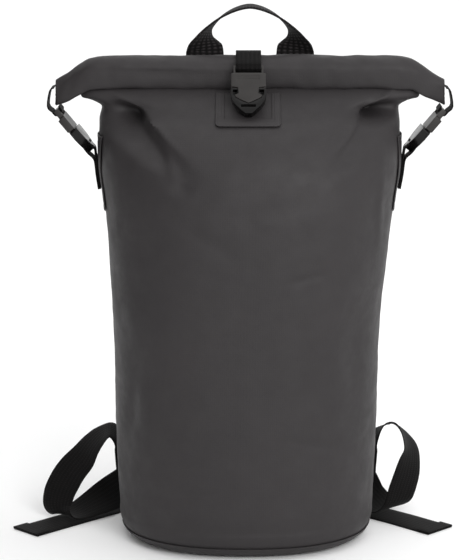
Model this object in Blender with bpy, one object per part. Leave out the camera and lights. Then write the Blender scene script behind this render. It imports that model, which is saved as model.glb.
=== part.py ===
# Waterproof roll-top backpack, standing on its base with its mouth rolled shut.
# Metres, +Z up. The front faces -Y, and the origin is on the floor under the middle of the base.
import math
from collections import namedtuple

import bmesh
import bpy
from mathutils import Matrix, Vector

# Bag
ROLL_TOP = 0.490
BASE_WIDTH = 0.2616
SHOULDER_WIDTH = 0.301
NECK_WIDTH = 0.339
FRONT_DEPTH = 0.115
BACK_DEPTH = 0.105
BASE_ROUND = 0.026
BASE_RIM = 0.011
WALL = 0.0012
BASE_WALL = 0.0014
LEAN = 0.0040
CLEARANCE = 0.0003

# Rolled mouth
ROLL_WIDTH = 0.3854
ROLL_HEIGHT = 0.029
ROLL_DEPTH = 0.042
ROLL_DROOP = 0.021
ROLL_LAYER = 0.0030
ROLL_TURNS = 2.4
ROLL_PITCH = 0.30
ROLL_FORWARD = 0.006

# Webbing
WEB_WIDE = 0.038
WEB_NARROW = 0.025
WEB_TAB = 0.019
WEB_THICK = 0.0016
WRAP_SLACK = 0.0008
LAY_SLACK = 0.0007

# Welded patches
PATCH_THICK = 0.0010
PATCH_FRAME = 0.0006
PATCH_GAP = 0.0005
FRONT_PATCH_WIDTH = 0.0635
FRONT_PATCH_TOP = 0.4532
FRONT_PATCH_HEIGHT = 0.0272
FRONT_PATCH_STEEP = 0.68
FRONT_PATCH_BORDER = 0.0085
FRONT_PATCH_CORNER = 0.004
SIDE_PATCH_WIDTH = 0.056
SIDE_PATCH_HEIGHT = 0.074
SIDE_PATCH_TOP = 0.411
ANCHOR_PATCH_WIDTH = 0.052
ANCHOR_PATCH_HEIGHT = 0.050
ANCHOR_PATCH_LOW = 0.046
ANCHOR_DEPTH = 0.034
YOKE_WIDTH = 0.190
YOKE_HEIGHT = 0.076
YOKE_TOP = 0.440

# Side-release buckles
FEMALE_LENGTH = 0.036
FEMALE_WIDTH = 0.0345
FEMALE_THICK = 0.0098
MALE_LENGTH = 0.0165
MALE_THICK = 0.0056
BUCKLE_BAR = 0.0034
BUCKLE_SLOT = 0.0048
END_BAR_THICK = 0.0050
BUCKLE_FIT = 0.0004
FRONT_BUCKLE_TILT = math.radians(36)
SIDE_BUCKLE_HEIGHT = 0.3975

# Handle and shoulder straps
HANDLE_RISE = 0.0445
HANDLE_SPAN = 0.0905
HANDLE_THICK = 0.0021
HANDLE_FOOT = (0.036, 0.027, 0.018, 0.010, 0.003)
STRAP_WIDTH = 0.060
STRAP_THICK = 0.009
PAD_RINGS = 14
LOCK_WIDTH = 0.050
LOCK_LENGTH = 0.026
LOCK_THICK = 0.0042
LOCK_BAR = 0.0036

TURNS_ROUND = 40

LEFT, RIGHT = -1, 1
SIDES = {LEFT: "left", RIGHT: "right"}
NECK_TOP = ROLL_TOP - ROLL_HEIGHT - 2 * CLEARANCE

# One row for each level of the tube. height is a share of the neck's height, flare runs from 0, the
# base's width, through 1, the shoulder's, to 2, the neck's. front, back and lean are shares of
# FRONT_DEPTH, BACK_DEPTH and LEAN, and square is the outline's exponent.
Level = namedtuple("Level", "height flare front back square lean")
LEVELS = (
    Level(0.056, -0.04, 0.990, 0.985, 2.30, 0.00),
    Level(0.110, 0.00, 1.000, 1.000, 2.35, 0.00),
    Level(0.250, 0.12, 1.000, 1.000, 2.35, 0.00),
    Level(0.400, 0.16, 0.990, 0.995, 2.35, 0.10),
    Level(0.520, 0.27, 0.985, 0.990, 2.35, 0.15),
    Level(0.650, 0.53, 0.970, 0.980, 2.35, 0.60),
    Level(0.760, 0.76, 0.945, 0.950, 2.35, 0.80),
    Level(0.830, 0.98, 0.890, 0.900, 2.30, 0.90),
    Level(0.880, 1.00, 0.780, 0.760, 2.30, 0.90),
    Level(0.925, 0.98, 0.600, 0.560, 2.30, 0.90),
    Level(0.952, 0.88, 0.410, 0.400, 2.40, 1.00),
    Level(0.965, 1.30, 0.330, 0.320, 2.60, 1.00),
    Level(0.980, 1.90, 0.240, 0.230, 3.00, 1.00),
    Level(1.000, 2.00, 0.120, 0.130, 3.60, 1.00),
)

# Dents and folds. across is a share of the half width, height of the neck's height, wide, tall and
# push of SHOULDER_WIDTH, and slant turns the dent's long axis, in degrees.
Dent = namedtuple("Dent", "across height wide tall slant push")
DENTS = (
    Dent(-0.82, 0.943, 0.048, 0.030, 0, 0.060),
    Dent(0.84, 0.950, 0.055, 0.022, 0, 0.055),
    Dent(-0.64, 0.880, 0.120, 0.035, -33, 0.030),
    Dent(0.72, 0.905, 0.110, 0.035, 40, 0.018),
    Dent(-0.72, 0.640, 0.050, 0.170, 0, 0.008),
    Dent(0.80, 0.420, 0.040, 0.200, 0, 0.008),
)

# The rolled mouth along its length. out is a share of its half width, droop of ROLL_DROOP, tall of
# ROLL_HEIGHT and deep of ROLL_DEPTH.
Station = namedtuple("Station", "out droop tall deep")
STATIONS = (
    Station(0.00, 0.00, 1.00, 1.00),
    Station(0.30, 0.00, 1.00, 1.00),
    Station(0.55, 0.00, 1.00, 1.00),
    Station(0.74, 0.00, 1.00, 0.97),
    Station(0.82, 0.08, 0.98, 0.90),
    Station(0.88, 0.38, 0.94, 0.78),
    Station(0.94, 0.72, 0.90, 0.62),
    Station(1.00, 1.00, 0.86, 0.48),
)


# Heights of the tube's rings, as shares of NECK_TOP.
RING_SHARES = (0.056, 0.16, 0.28, 0.40, 0.52, 0.62, 0.70, 0.77, 0.82, 0.86, 0.89, 0.92,
               0.937, 0.952, 0.962, 0.972, 0.984, 1.0)


def read_row(table, at):
    """The table's row at this value of its first column, by cubic steps between the rows."""
    keys = [row[0] for row in table]
    if at <= keys[0]:
        return table[0]
    if at >= keys[-1]:
        return table[-1]
    low = max(i for i, key in enumerate(keys) if key <= at)
    span = keys[low + 1] - keys[low]
    t = (at - keys[low]) / span

    def slope(i, column):
        if i == 0 or i == len(table) - 1:
            return (table[low + 1][column] - table[low][column]) / span
        before = (table[i][column] - table[i - 1][column]) / (keys[i] - keys[i - 1])
        after = (table[i + 1][column] - table[i][column]) / (keys[i + 1] - keys[i])
        return 0.0 if before * after <= 0 else 2 * before * after / (before + after)

    values = [at]
    for column in range(1, len(table[0])):
        a, b = table[low][column], table[low + 1][column]
        start, end = slope(low, column) * span, slope(low + 1, column) * span
        values.append(
            a * (2 * t**3 - 3 * t**2 + 1)
            + start * (t**3 - 2 * t**2 + t)
            + b * (3 * t**2 - 2 * t**3)
            + end * (t**3 - t**2)
        )
    return type(table[0])(*values)


def power(value, exponent):
    return math.copysign(abs(value) ** exponent, value)


def roll_station(x):
    """The rolled mouth's section at this distance from its middle."""
    station = read_row(STATIONS, min(1.0, abs(x - LEAN) / (ROLL_WIDTH / 2)))
    half_tall = ROLL_HEIGHT * station.tall / (2 - ROLL_PITCH / 2)
    half_deep = ROLL_DEPTH * station.deep / (2 - ROLL_PITCH / 2)
    middle = ROLL_TOP - ROLL_HEIGHT + ROLL_HEIGHT / (2 - ROLL_PITCH / 2) - ROLL_DROOP * station.droop
    return half_tall, half_deep, middle


def neck_drop(x):
    """How far the neck's top edge hangs below NECK_TOP, under the drooping roll."""
    half_tall, _, middle = roll_station(x)
    return NECK_TOP - (middle - half_tall - 2 * CLEARANCE)


def body_size(height):
    """Half width, front depth, back depth, exponent and lean of the tube at this height."""
    level = read_row(LEVELS, height / NECK_TOP)
    widths = (BASE_WIDTH, SHOULDER_WIDTH, NECK_WIDTH)
    part = 1 if level.flare > 1 else 0
    width = widths[part] + (widths[part + 1] - widths[part]) * (level.flare - part)
    return width / 2, FRONT_DEPTH * level.front, BACK_DEPTH * level.back, level.square, LEAN * level.lean


def dent_push(x, y, height, half_width, depth):
    total = 0.0
    for dent in DENTS:
        slant = math.radians(dent.slant)
        dx = x - dent.across * half_width
        dz = height - dent.height * NECK_TOP
        along = dx * math.cos(slant) + dz * math.sin(slant)
        over = dz * math.cos(slant) - dx * math.sin(slant)
        reach = (along / (dent.wide * SHOULDER_WIDTH)) ** 2 + (over / (dent.tall * SHOULDER_WIDTH)) ** 2
        total += dent.push * SHOULDER_WIDTH * math.exp(-reach)
    return total * min(1.0, max(0.0, -y / (0.35 * depth)))


def body_point(turn, height, inset=0.0):
    """A point of the tube's outer face. turn is the angle round from +X, inset shrinks the outline."""
    half_width, front, back, square, lean = body_size(height)
    depth = back if math.sin(turn) > 0 else front
    x = half_width * power(math.cos(turn), 2 / square)
    y = depth * power(math.sin(turn), 2 / square)
    push = dent_push(x, y, height, half_width, depth)
    outward = Vector((power(x / half_width, square - 1) / half_width, power(y / depth, square - 1) / depth, 0))
    flat = Vector((x, y, 0)) - outward.normalized() * (push + inset)
    weight = max(0.0, min(1.0, (height / NECK_TOP - 0.93) / 0.07))
    return Vector((flat.x + lean, flat.y, height - neck_drop(flat.x + lean) * weight))


def body_normal(turn, height):
    step = 0.002
    round_way = body_point(turn + 0.01, height) - body_point(turn - 0.01, height)
    up_way = body_point(turn, height + step) - body_point(turn, height - step)
    return round_way.cross(up_way).normalized()


def skin_point(turn, height, stand_off):
    return body_point(turn, height) + body_normal(turn, height) * stand_off


def skin_across(turn, height):
    """The level direction along the tube's face, the way that turn grows."""
    return (body_point(turn + 0.02, height) - body_point(turn - 0.02, height)).normalized()


def turn_at_x(x, height, back=False):
    """The turn where the tube's front or back is at this x."""
    half_width, _, _, square, lean = body_size(height)
    share = max(-0.995, min(0.995, (x - lean) / half_width))
    turn = math.acos(power(share, square / 2))
    return turn if back else -turn


def turn_at_y(y, height, side):
    """The turn where the tube's left or right side is at this y."""
    _, front, back, square, _ = body_size(height)
    share = max(-0.995, min(0.995, y / (back if y > 0 else front)))
    turn = math.asin(power(share, square / 2))
    return turn if side == RIGHT else math.pi - turn


def finish(name, bm, colour, roughness, smooth=True):
    """Makes the mesh a named object with its own material."""
    bmesh.ops.recalc_face_normals(bm, faces=bm.faces)
    mesh = bpy.data.meshes.new(name)
    bm.to_mesh(mesh)
    bm.free()
    if smooth:
        mesh.shade_smooth()
        mesh.set_sharp_from_angle(angle=math.radians(35))
    material = bpy.data.materials.new(name)
    material.use_nodes = True
    shader = material.node_tree.nodes["Principled BSDF"]
    shader.inputs["Base Color"].default_value = (*colour, 1)
    shader.inputs["Roughness"].default_value = roughness
    shader.inputs["Metallic"].default_value = 0
    mesh.materials.append(material)
    obj = bpy.data.objects.new(name, mesh)
    bpy.context.scene.collection.objects.link(obj)
    return obj


COATED = (0.055, 0.053, 0.054), 0.55
WEBBING = (0.014, 0.014, 0.014), 0.80
PLASTIC = (0.020, 0.019, 0.019), 0.38


def loft(bm, rings, caps=True):
    """Joins closed rings of equal count into a tube, with flat ends if caps is set."""
    rows = [[bm.verts.new(point) for point in ring] for ring in rings]
    count = len(rows[0])
    for low, high in zip(rows, rows[1:]):
        for i in range(count):
            j = (i + 1) % count
            bm.faces.new((low[i], low[j], high[j], high[i]))
    if caps:
        bm.faces.new(rows[0][::-1])
        bm.faces.new(rows[-1])
    return rows


def slab(bm, inner, outer):
    """Closes two grids of points of equal size into a thin plate."""
    low = [[bm.verts.new(point) for point in row] for row in inner]
    high = [[bm.verts.new(point) for point in row] for row in outer]
    rows, columns = len(low), len(low[0])
    for i in range(rows - 1):
        for j in range(columns - 1):
            bm.faces.new((low[i][j], low[i + 1][j], low[i + 1][j + 1], low[i][j + 1]))
            bm.faces.new((high[i][j], high[i][j + 1], high[i + 1][j + 1], high[i + 1][j]))
    edge = [(0, j) for j in range(columns)]
    edge += [(i, columns - 1) for i in range(1, rows)]
    edge += [(rows - 1, j) for j in range(columns - 2, -1, -1)]
    edge += [(i, 0) for i in range(rows - 2, 0, -1)]
    for (i, j), (k, m) in zip(edge, edge[1:] + edge[:1]):
        bm.faces.new((low[i][j], low[k][m], high[k][m], high[i][j]))


def smooth_path(stops, steps):
    """Catmull-Rom points and across directions between hand-set stops of (point, across)."""
    found = []
    last = len(stops) - 1
    for i in range(last):
        near = [stops[max(0, min(last, k))] for k in (i - 1, i, i + 1, i + 2)]
        for step in range(steps):
            t = step / steps
            found.append([
                0.5 * (
                    2 * near[1][part]
                    + (near[2][part] - near[0][part]) * t
                    + (2 * near[0][part] - 5 * near[1][part] + 4 * near[2][part] - near[3][part]) * t * t
                    + (3 * near[1][part] - near[0][part] - 3 * near[2][part] + near[3][part]) * t**3
                )
                for part in (0, 1)
            ])
    found.append(list(stops[-1]))
    return found


def ribbon(name, path, width, thick=WEB_THICK, look=WEBBING):
    """A flat strap along a path of (point, across direction)."""
    bm = bmesh.new()
    rows = []
    for i, (point, across) in enumerate(path):
        before, after = path[max(0, i - 1)][0], path[min(len(path) - 1, i + 1)][0]
        along = (after - before).normalized()
        across = (across - along * across.dot(along)).normalized()
        out = along.cross(across) * (thick / 2)
        side = across * (width / 2)
        corners = (point - side - out, point + side - out, point + side + out, point - side + out)
        rows.append([bm.verts.new(corner) for corner in corners])
    bm.faces.new(rows[0][::-1])
    bm.faces.new(rows[-1])
    for (a0, a1, a2, a3), (b0, b1, b2, b3) in zip(rows, rows[1:]):
        # Both broad faces are split along the same diagonal, so that they can't cross in a twist.
        for face in ((a0, a1, b1), (a0, b1, b0), (a3, b3, b2), (a3, b2, a2), (a1, a2, b2, b1), (a3, a0, b0, b3)):
            bm.faces.new(face)
    return finish(name, bm, *look)


def wrap(middle, along, normal, out, reach, steps=8):
    """Points of a squarish half turn, from the +normal side to the -normal side. along points from
    its middle to where both strands go."""
    points = []
    for i in range(steps + 1):
        turn = math.pi * i / steps
        side, end = power(math.cos(turn), 0.6), math.sin(turn) ** 0.6 if 0 < i < steps else 0.0
        points.append(middle + normal * (out * side) - along * (reach * end))
    return points


def wrap_out(thick):
    """Distance from a bar's middle to the middle of the webbing that goes round it."""
    return thick / 2 + WRAP_SLACK + WEB_THICK / 2


def wrap_bar(middle, along, normal, thick, bar):
    return wrap(middle, along, normal, wrap_out(thick), wrap_out(bar))


def lay_off(layers=0):
    """Distance from the tube to the middle of webbing on a patch, with this many layers under it."""
    return PATCH_THICK + PATCH_GAP + LAY_SLACK + WEB_THICK / 2 + layers * (WEB_THICK + CLEARANCE)


def over_floor(path, width, gap):
    """Lifts a path of (point, across) so that the whole strap is this far above the floor."""
    for point, across in path:
        low = gap + WEB_THICK / 2 + abs(across.normalized().z) * width / 2
        point.z = max(point.z, low)
    return path


def clear_of_bag(path, width, gap):
    """Moves a path of (point, across) outward where the strap comes nearer to the tube than gap."""
    for point, across in path:
        push = Vector((0, 0, 0))
        for share in (-1, -0.5, 0, 0.5, 1):
            edge = point + across.normalized() * (share * width / 2)
            half_width, front, back, square, lean = body_size(max(BASE_ROUND, edge.z))
            depth = back if edge.y > 0 else front
            x = edge.x - lean
            scale = (abs(x / half_width) ** square + abs(edge.y / depth) ** square) ** (1 / square)
            outward = Vector((
                power(x / half_width / scale, square - 1) / half_width,
                power(edge.y / depth / scale, square - 1) / depth,
                0,
            ))
            need = gap + (1 - scale) / outward.length
            if need > push.length:
                push = outward.normalized() * need
        point += push
    return path


# Bag body and base


def make_bag_body():
    bm = bmesh.new()
    outer_round = BASE_ROUND - BASE_WALL - CLEARANCE
    rings = []
    for angle in (72, 48, 24):
        low = math.radians(angle)
        inset = outer_round * (1 - math.cos(low)) + BASE_WALL + CLEARANCE
        ring = [body_point(2 * math.pi * i / TURNS_ROUND, BASE_ROUND, inset) for i in range(TURNS_ROUND)]
        rings.append([Vector((p.x, p.y, BASE_ROUND - outer_round * math.sin(low))) for p in ring])
    for share in RING_SHARES:
        inset = BASE_WALL + CLEARANCE if share < 0.1 else 0.0
        rings.append([body_point(2 * math.pi * i / TURNS_ROUND, share * NECK_TOP, inset)
                      for i in range(TURNS_ROUND)])
    loft(bm, rings, caps=False)
    bag = finish("bag_body", bm, *COATED)
    wall = bag.modifiers.new("Wall", "SOLIDIFY")
    wall.thickness = WALL
    wall.offset = -1
    return bag


def make_base_panel():
    bm = bmesh.new()
    rings = []
    start = math.asin((BASE_ROUND - BASE_RIM) / (BASE_ROUND - BASE_WALL))
    inner_round = BASE_ROUND - BASE_WALL
    for i in range(6):
        low = start + (math.pi / 2 - start) * i / 5
        inset = inner_round * (1 - math.cos(low)) + BASE_WALL
        ring = [body_point(2 * math.pi * k / TURNS_ROUND, BASE_ROUND, inset) for k in range(TURNS_ROUND)]
        rings.append([Vector((p.x, p.y, BASE_ROUND - inner_round * math.sin(low))) for p in ring])
    rows = loft(bm, rings, caps=False)
    bm.faces.new(rows[-1])
    bmesh.ops.recalc_face_normals(bm, faces=bm.faces)
    if sum(face.normal.z * face.calc_area() for face in bm.faces) > 0:
        bmesh.ops.reverse_faces(bm, faces=bm.faces)
    panel = finish("base_panel", bm, *COATED)
    wall = panel.modifiers.new("Wall", "SOLIDIFY")
    wall.thickness = BASE_WALL
    wall.offset = 1
    wall.use_even_offset = True
    return panel


# Rolled mouth


def roll_point(x, angle, inset=0.0):
    """A point of the spiral, at an angle from the back, that starts under the roll at -90 degrees."""
    half_tall, half_deep, middle = roll_station(x)
    factor = 1 - ROLL_PITCH * (angle + math.pi / 2) / (2 * math.pi)
    return Vector((
        x,
        (half_deep * factor - inset) * math.cos(angle) - ROLL_FORWARD,
        middle + (half_tall * factor - inset) * math.sin(angle),
    ))


def make_roll_top():
    bm = bmesh.new()
    turns = round(ROLL_TURNS * 13)
    angles = [-math.pi / 2 + 2 * math.pi * ROLL_TURNS * i / turns for i in range(turns + 1)]
    outs = [station.out for station in STATIONS]
    xs = [LEAN - out * ROLL_WIDTH / 2 for out in reversed(outs)] + [LEAN + out * ROLL_WIDTH / 2 for out in outs[1:]]
    inner, outer = [], []
    for x in xs:
        layer = ROLL_LAYER * roll_station(x)[0] / roll_station(LEAN)[0]
        outer.append([roll_point(x, angle) for angle in angles])
        inner.append([roll_point(x, angle, layer) for angle in angles])
    slab(bm, inner, outer)
    return finish("roll_top", bm, *COATED)


# Patches welded on the tube


def patch(name, rows, stand_off=PATCH_GAP, frame=0.0, border=0.0):
    """A plate on the tube. rows is a grid of (turn, height, raised) with raised 1 on the frame."""
    bm = bmesh.new()
    inner = [[skin_point(turn, height, stand_off) for turn, height, _ in row] for row in rows]
    outer = [
        [skin_point(turn, height, stand_off + PATCH_THICK + frame * raised) for turn, height, raised in row]
        for row in rows
    ]
    slab(bm, inner, outer)
    return finish(name, bm, *COATED)


def with_rings(heights):
    """These heights, from the top down, with the tube's rings between them."""
    low, high = min(heights), max(heights)
    rings = [share * NECK_TOP for share in RING_SHARES if low + 0.002 < share * NECK_TOP < high - 0.002]
    rings = [ring for ring in rings if min(abs(ring - height) for height in heights) > 0.0015]
    return sorted(set(heights) | set(rings), reverse=True)


def rounded_half(width, corner, from_edge):
    """Half the width of a plate with rounded corners, at this distance from its end."""
    if from_edge >= corner:
        return width / 2
    return width / 2 - corner + math.sqrt(max(0.0, corner**2 - (corner - from_edge) ** 2))


def make_front_patch():
    step = 0.0004
    border = FRONT_PATCH_BORDER
    edges = (0.0, border + step, border, FRONT_PATCH_CORNER, 0.0012)
    heights = [FRONT_PATCH_TOP, FRONT_PATCH_TOP - FRONT_PATCH_HEIGHT]
    heights += [FRONT_PATCH_TOP - FRONT_PATCH_HEIGHT + edge * FRONT_PATCH_STEEP for edge in edges[1:]]
    rows = []
    for height in with_rings(heights):
        from_edge = (height - FRONT_PATCH_TOP + FRONT_PATCH_HEIGHT) / FRONT_PATCH_STEEP
        half = rounded_half(FRONT_PATCH_WIDTH, FRONT_PATCH_CORNER, from_edge)
        window = FRONT_PATCH_WIDTH / 2 - border
        xs = [-half, -window - step, -window, -window / 2, 0.0, window / 2, window, window + step, half]
        open_row = from_edge > border + step / 2
        row = []
        for k, x in enumerate(xs):
            raised = 0.0 if open_row and 2 <= k <= 6 else 1.0
            row.append((turn_at_x(LEAN / 2 + x, height), height, raised))
        rows.append(row)
    return patch("front_patch", rows, frame=PATCH_FRAME)


def make_side_patch(side):
    rows = []
    for height in with_rings([SIDE_PATCH_TOP, SIDE_PATCH_TOP - SIDE_PATCH_HEIGHT]):
        rows.append([(turn_at_y(SIDE_PATCH_WIDTH * (k / 6 - 0.5), height, side), height, 0.0) for k in range(7)])
    return patch("side_patch_" + SIDES[side], rows)


def make_anchor_patch(side):
    rows = []
    for height in with_rings([ANCHOR_PATCH_LOW + ANCHOR_PATCH_HEIGHT, ANCHOR_PATCH_LOW]):
        rows.append([
            (turn_at_y(ANCHOR_DEPTH + ANCHOR_PATCH_WIDTH * (k / 5 - 0.5), height, side), height, 0.0)
            for k in range(6)
        ])
    return patch("anchor_patch_" + SIDES[side], rows)


def make_back_yoke():
    rows = []
    half = YOKE_WIDTH / 2
    for height in with_rings([YOKE_TOP, YOKE_TOP - YOKE_HEIGHT]):
        rows.append([(turn_at_x(LEAN + half * (1 - k / 6), height, back=True), height, 0.0) for k in range(13)])
    return patch("back_yoke", rows)


# Buckles, modelled standing up: the male is above the mouth at z = 0 and the female below it, x is
# the width and the face points to -Y.


def box(bm, x, y, z):
    """A box from three (low, high) pairs."""
    corners = [bm.verts.new((x[i], y[j], z[k])) for i in (0, 1) for j in (0, 1) for k in (0, 1)]
    for face in ((0, 1, 3, 2), (4, 6, 7, 5), (0, 4, 5, 1), (2, 3, 7, 6), (0, 2, 6, 4), (1, 5, 7, 3)):
        bm.faces.new([corners[i] for i in face])


def plate(bm, outline, front, back):
    """An outline of (x, z) points extruded from y = front to y = back."""
    low = [bm.verts.new((x, front, z)) for x, z in outline]
    high = [bm.verts.new((x, back, z)) for x, z in outline]
    bm.faces.new(low)
    bm.faces.new(high[::-1])
    for i in range(len(low)):
        j = (i + 1) % len(low)
        bm.faces.new((low[i], high[i], high[j], low[j]))


def mirrored(half):
    """A closed outline from its +X half, listed from top to bottom."""
    return half + [(-x, z) for x, z in reversed(half) if x > 0]


def cutter(name, bm, place):
    tool = finish(name, bm, *PLASTIC, smooth=False)
    tool.hide_render = True
    tool.display_type = "WIRE"
    tool.matrix_world = place
    return tool


def combine(obj, other, operation):
    step = obj.modifiers.new(other.name, "BOOLEAN")
    step.operation = operation
    step.object = other
    step.solver = "EXACT"


# Half outline of the female, as shares of FEMALE_WIDTH / 2 and FEMALE_LENGTH.
FEMALE_OUTLINE = ((0.94, 0.0), (1.0, 0.06), (1.0, 0.40), (0.95, 0.58), (0.84, 0.76), (0.64, 0.90), (0.26, 1.0))
V_PLATE_SHARE = 0.68


def end_bar():
    """Length of the female's bar between its slot and its tip."""
    return FEMALE_LENGTH - tab_slot_middle() - BUCKLE_SLOT / 2


def tab_slot_middle():
    return FEMALE_LENGTH * 0.76


def make_female(name, place):
    half, length, thick = FEMALE_WIDTH / 2, FEMALE_LENGTH, FEMALE_THICK / 2
    bm = bmesh.new()
    plate(bm, mirrored([(half * w, -length * d) for w, d in FEMALE_OUTLINE]), -thick, thick)
    female = finish(name, bm, *PLASTIC)
    female.matrix_world = place
    over = 0.002
    bm = bmesh.new()
    box(bm, (-half * 0.86, half * 0.86), (-thick * 0.58, thick * 0.58), (-length * 0.60, over))
    combine(female, cutter(name + "_mouth", bm, place), "DIFFERENCE")
    bm = bmesh.new()
    box(bm, (-half - over, half + over), (-thick * 0.50, thick * 0.50), (-length * 0.42, -length * 0.17))
    combine(female, cutter(name + "_windows", bm, place), "DIFFERENCE")
    bm = bmesh.new()
    v_half = half * 0.74
    plate(bm, [(v_half, over), (v_half, -length * 0.30), (0.0, -length * V_PLATE_SHARE),
               (-v_half, -length * 0.30), (-v_half, over)], -thick - over, -thick * 0.4)
    combine(female, cutter(name + "_notch", bm, place), "DIFFERENCE")
    bm = bmesh.new()
    slot = WEB_TAB / 2 + CLEARANCE
    middle = -tab_slot_middle()
    box(bm, (-slot, slot), (-thick - over, thick + over), (middle - BUCKLE_SLOT / 2, middle + BUCKLE_SLOT / 2))
    combine(female, cutter(name + "_slot", bm, place), "DIFFERENCE")
    bm = bmesh.new()
    for y in ((-thick - over, -END_BAR_THICK / 2), (END_BAR_THICK / 2, thick + over)):
        box(bm, (-half - over, half + over), y, (-length - over, middle))
    combine(female, cutter(name + "_end", bm, place), "DIFFERENCE")
    return female


def make_male(name, place):
    half, length, thick = FEMALE_WIDTH / 2, FEMALE_LENGTH, FEMALE_THICK / 2
    fit = BUCKLE_FIT
    arm = half * 0.86 - fit
    body = MALE_THICK / 2
    slot_low = MALE_LENGTH - BUCKLE_BAR - BUCKLE_SLOT
    outer = WEB_NARROW / 2 + 0.0020
    bm = bmesh.new()
    plate(bm, mirrored([(outer, MALE_LENGTH), (outer, slot_low), (half * 0.97, slot_low - 0.001),
                        (half * 0.97, fit), (arm, fit)]), -body, body)
    male = finish(name, bm, *PLASTIC)
    male.matrix_world = place
    bm = bmesh.new()
    arm_low = thick * 0.58 - fit
    plate(bm, mirrored([(arm, 0.002), (arm, -length * 0.55), (arm * 0.72, -length * 0.57), (arm * 0.60, -length * 0.10),
                        (arm * 0.24, -length * 0.06), (arm * 0.20, -length * 0.56)]), -arm_low, arm_low)
    combine(male, cutter(name + "_prongs", bm, place), "UNION")
    bm = bmesh.new()
    v_half = half * 0.74 - fit
    plate(bm, [(v_half, 0.003), (v_half, -length * 0.30 + fit), (0.0, -length * V_PLATE_SHARE + 2 * fit),
               (-v_half, -length * 0.30 + fit), (-v_half, 0.003)], -thick, -arm_low + 0.0002)
    combine(male, cutter(name + "_face", bm, place), "UNION")
    bm = bmesh.new()
    slot = WEB_NARROW / 2 + CLEARANCE
    box(bm, (-slot, slot), (-thick - 0.002, thick + 0.002), (slot_low, slot_low + BUCKLE_SLOT))
    combine(male, cutter(name + "_slot", bm, place), "DIFFERENCE")
    return male


def frame_at(origin, up, face):
    """A matrix whose Z is up, whose -Y points to face, at this origin."""
    up = up.normalized()
    width = up.cross(face).normalized()
    back = up.cross(width).normalized()
    return Matrix((
        (width.x, back.x, up.x, origin.x),
        (width.y, back.y, up.y, origin.y),
        (width.z, back.z, up.z, origin.z),
        (0, 0, 0, 1),
    ))


# Front closure

STRAP_X = LEAN * 0.6


def front_closure():
    """Origin, down direction and outward normal of the front buckle, and its bar's middle."""
    leave = math.pi - FRONT_BUCKLE_TILT
    down = Vector((0, -math.sin(FRONT_BUCKLE_TILT), -math.cos(FRONT_BUCKLE_TILT)))
    out = Vector((0, -math.cos(FRONT_BUCKLE_TILT), math.sin(FRONT_BUCKLE_TILT)))
    contact = roll_point(LEAN, leave)
    contact.x = STRAP_X
    lead = 0.010
    bar = contact + out * (CLEARANCE + WEB_THICK / 2 + wrap_out(MALE_THICK)) + down * lead
    return bar + down * (MALE_LENGTH - BUCKLE_BAR / 2), down, out, bar


def over_roll(stand_off, first, last, count):
    """Points over the roll from behind to the front, this far off its outer layer."""
    points = []
    for i in range(count):
        angle = first + (last - first) * i / (count - 1)
        point = roll_point(LEAN, angle, -stand_off)
        points.append(Vector((STRAP_X, point.y, point.z)))
    return points


def on_back(x, height, stand_off):
    return skin_point(turn_at_x(x, height, back=True), height, stand_off)


def make_front_strap():
    _, down, out, bar = front_closure()
    across = Vector((1, 0, 0))
    layer = CLEARANCE + WEB_THICK / 2
    leave = math.pi - FRONT_BUCKLE_TILT
    points = [on_back(STRAP_X, YOKE_TOP - down, lay_off()) for down in (0.036, 0.026, 0.017, 0.010)]
    points.append(on_back(STRAP_X, YOKE_TOP, lay_off() + 0.0005))
    points += over_roll(layer, math.radians(-12), leave, 10)
    points += wrap_bar(bar, down * -1, out * -1, MALE_THICK, BUCKLE_BAR)
    points.append(bar + out * wrap_out(MALE_THICK) - down * 0.0035)
    points += over_roll(layer + WEB_THICK + 3 * CLEARANCE, leave - 0.45, math.radians(52), 5)
    for point in points:
        point.x = STRAP_X
    return ribbon("front_strap", [(point, across) for point in points], WEB_NARROW)


def make_front_tab():
    mouth, down, out, _ = front_closure()
    across = Vector((1, 0, 0))
    slot = mouth + down * tab_slot_middle()
    foot = slot.z - 0.001
    points = [skin_point(turn_at_x(STRAP_X, height), height, lay_off())
              for height in (foot + 0.009, foot + 0.005, foot)]
    points += [slot - out * (FEMALE_THICK / 2 + 0.003), slot - out * (FEMALE_THICK / 2), slot + out * 0.002]
    for point in points:
        point.x = STRAP_X
    return ribbon("front_tab", [(point, across) for point in points], WEB_TAB)


# Side closures

CLOSURE_Y = -0.004


def side_closure(side):
    """Mouth, up direction and outward normal of a side buckle, with its two bars' middles."""
    end = LEAN + side * ROLL_WIDTH / 2
    half_tall, _, middle = roll_station(end)
    top = Vector((end - side * 0.002, CLOSURE_Y, middle - half_tall - 0.0078))
    low = skin_point(turn_at_y(CLOSURE_Y, SIDE_BUCKLE_HEIGHT, side), SIDE_BUCKLE_HEIGHT, 0.0095)
    low.y = CLOSURE_Y
    up = (top - low).normalized()
    out = Vector((up.z * side, 0, -up.x * side))
    mouth = top - up * (MALE_LENGTH - BUCKLE_BAR / 2)
    return mouth, up, out, top, mouth - up * (FEMALE_LENGTH - end_bar() / 2)


def make_end_loop(side):
    _, up, out, bar, _ = side_closure(side)
    end = LEAN + side * ROLL_WIDTH / 2
    _, _, middle = roll_station(end)
    radius = wrap_out(MALE_THICK)
    start = Vector((end + side * 0.0012, CLOSURE_Y, middle + 0.002))
    bulge = bar + out * radius + up * 0.010
    points = [start, start + Vector((side * 0.004, 0, -0.003)), bulge]
    points += [bar + out * radius + up * 0.003]
    points += wrap_bar(bar, up, out, MALE_THICK, BUCKLE_BAR)
    points += [bar - out * radius + up * 0.0032]
    return ribbon("end_loop_" + SIDES[side], [(p, Vector((0, 1, 0))) for p in points], WEB_NARROW)


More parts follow.
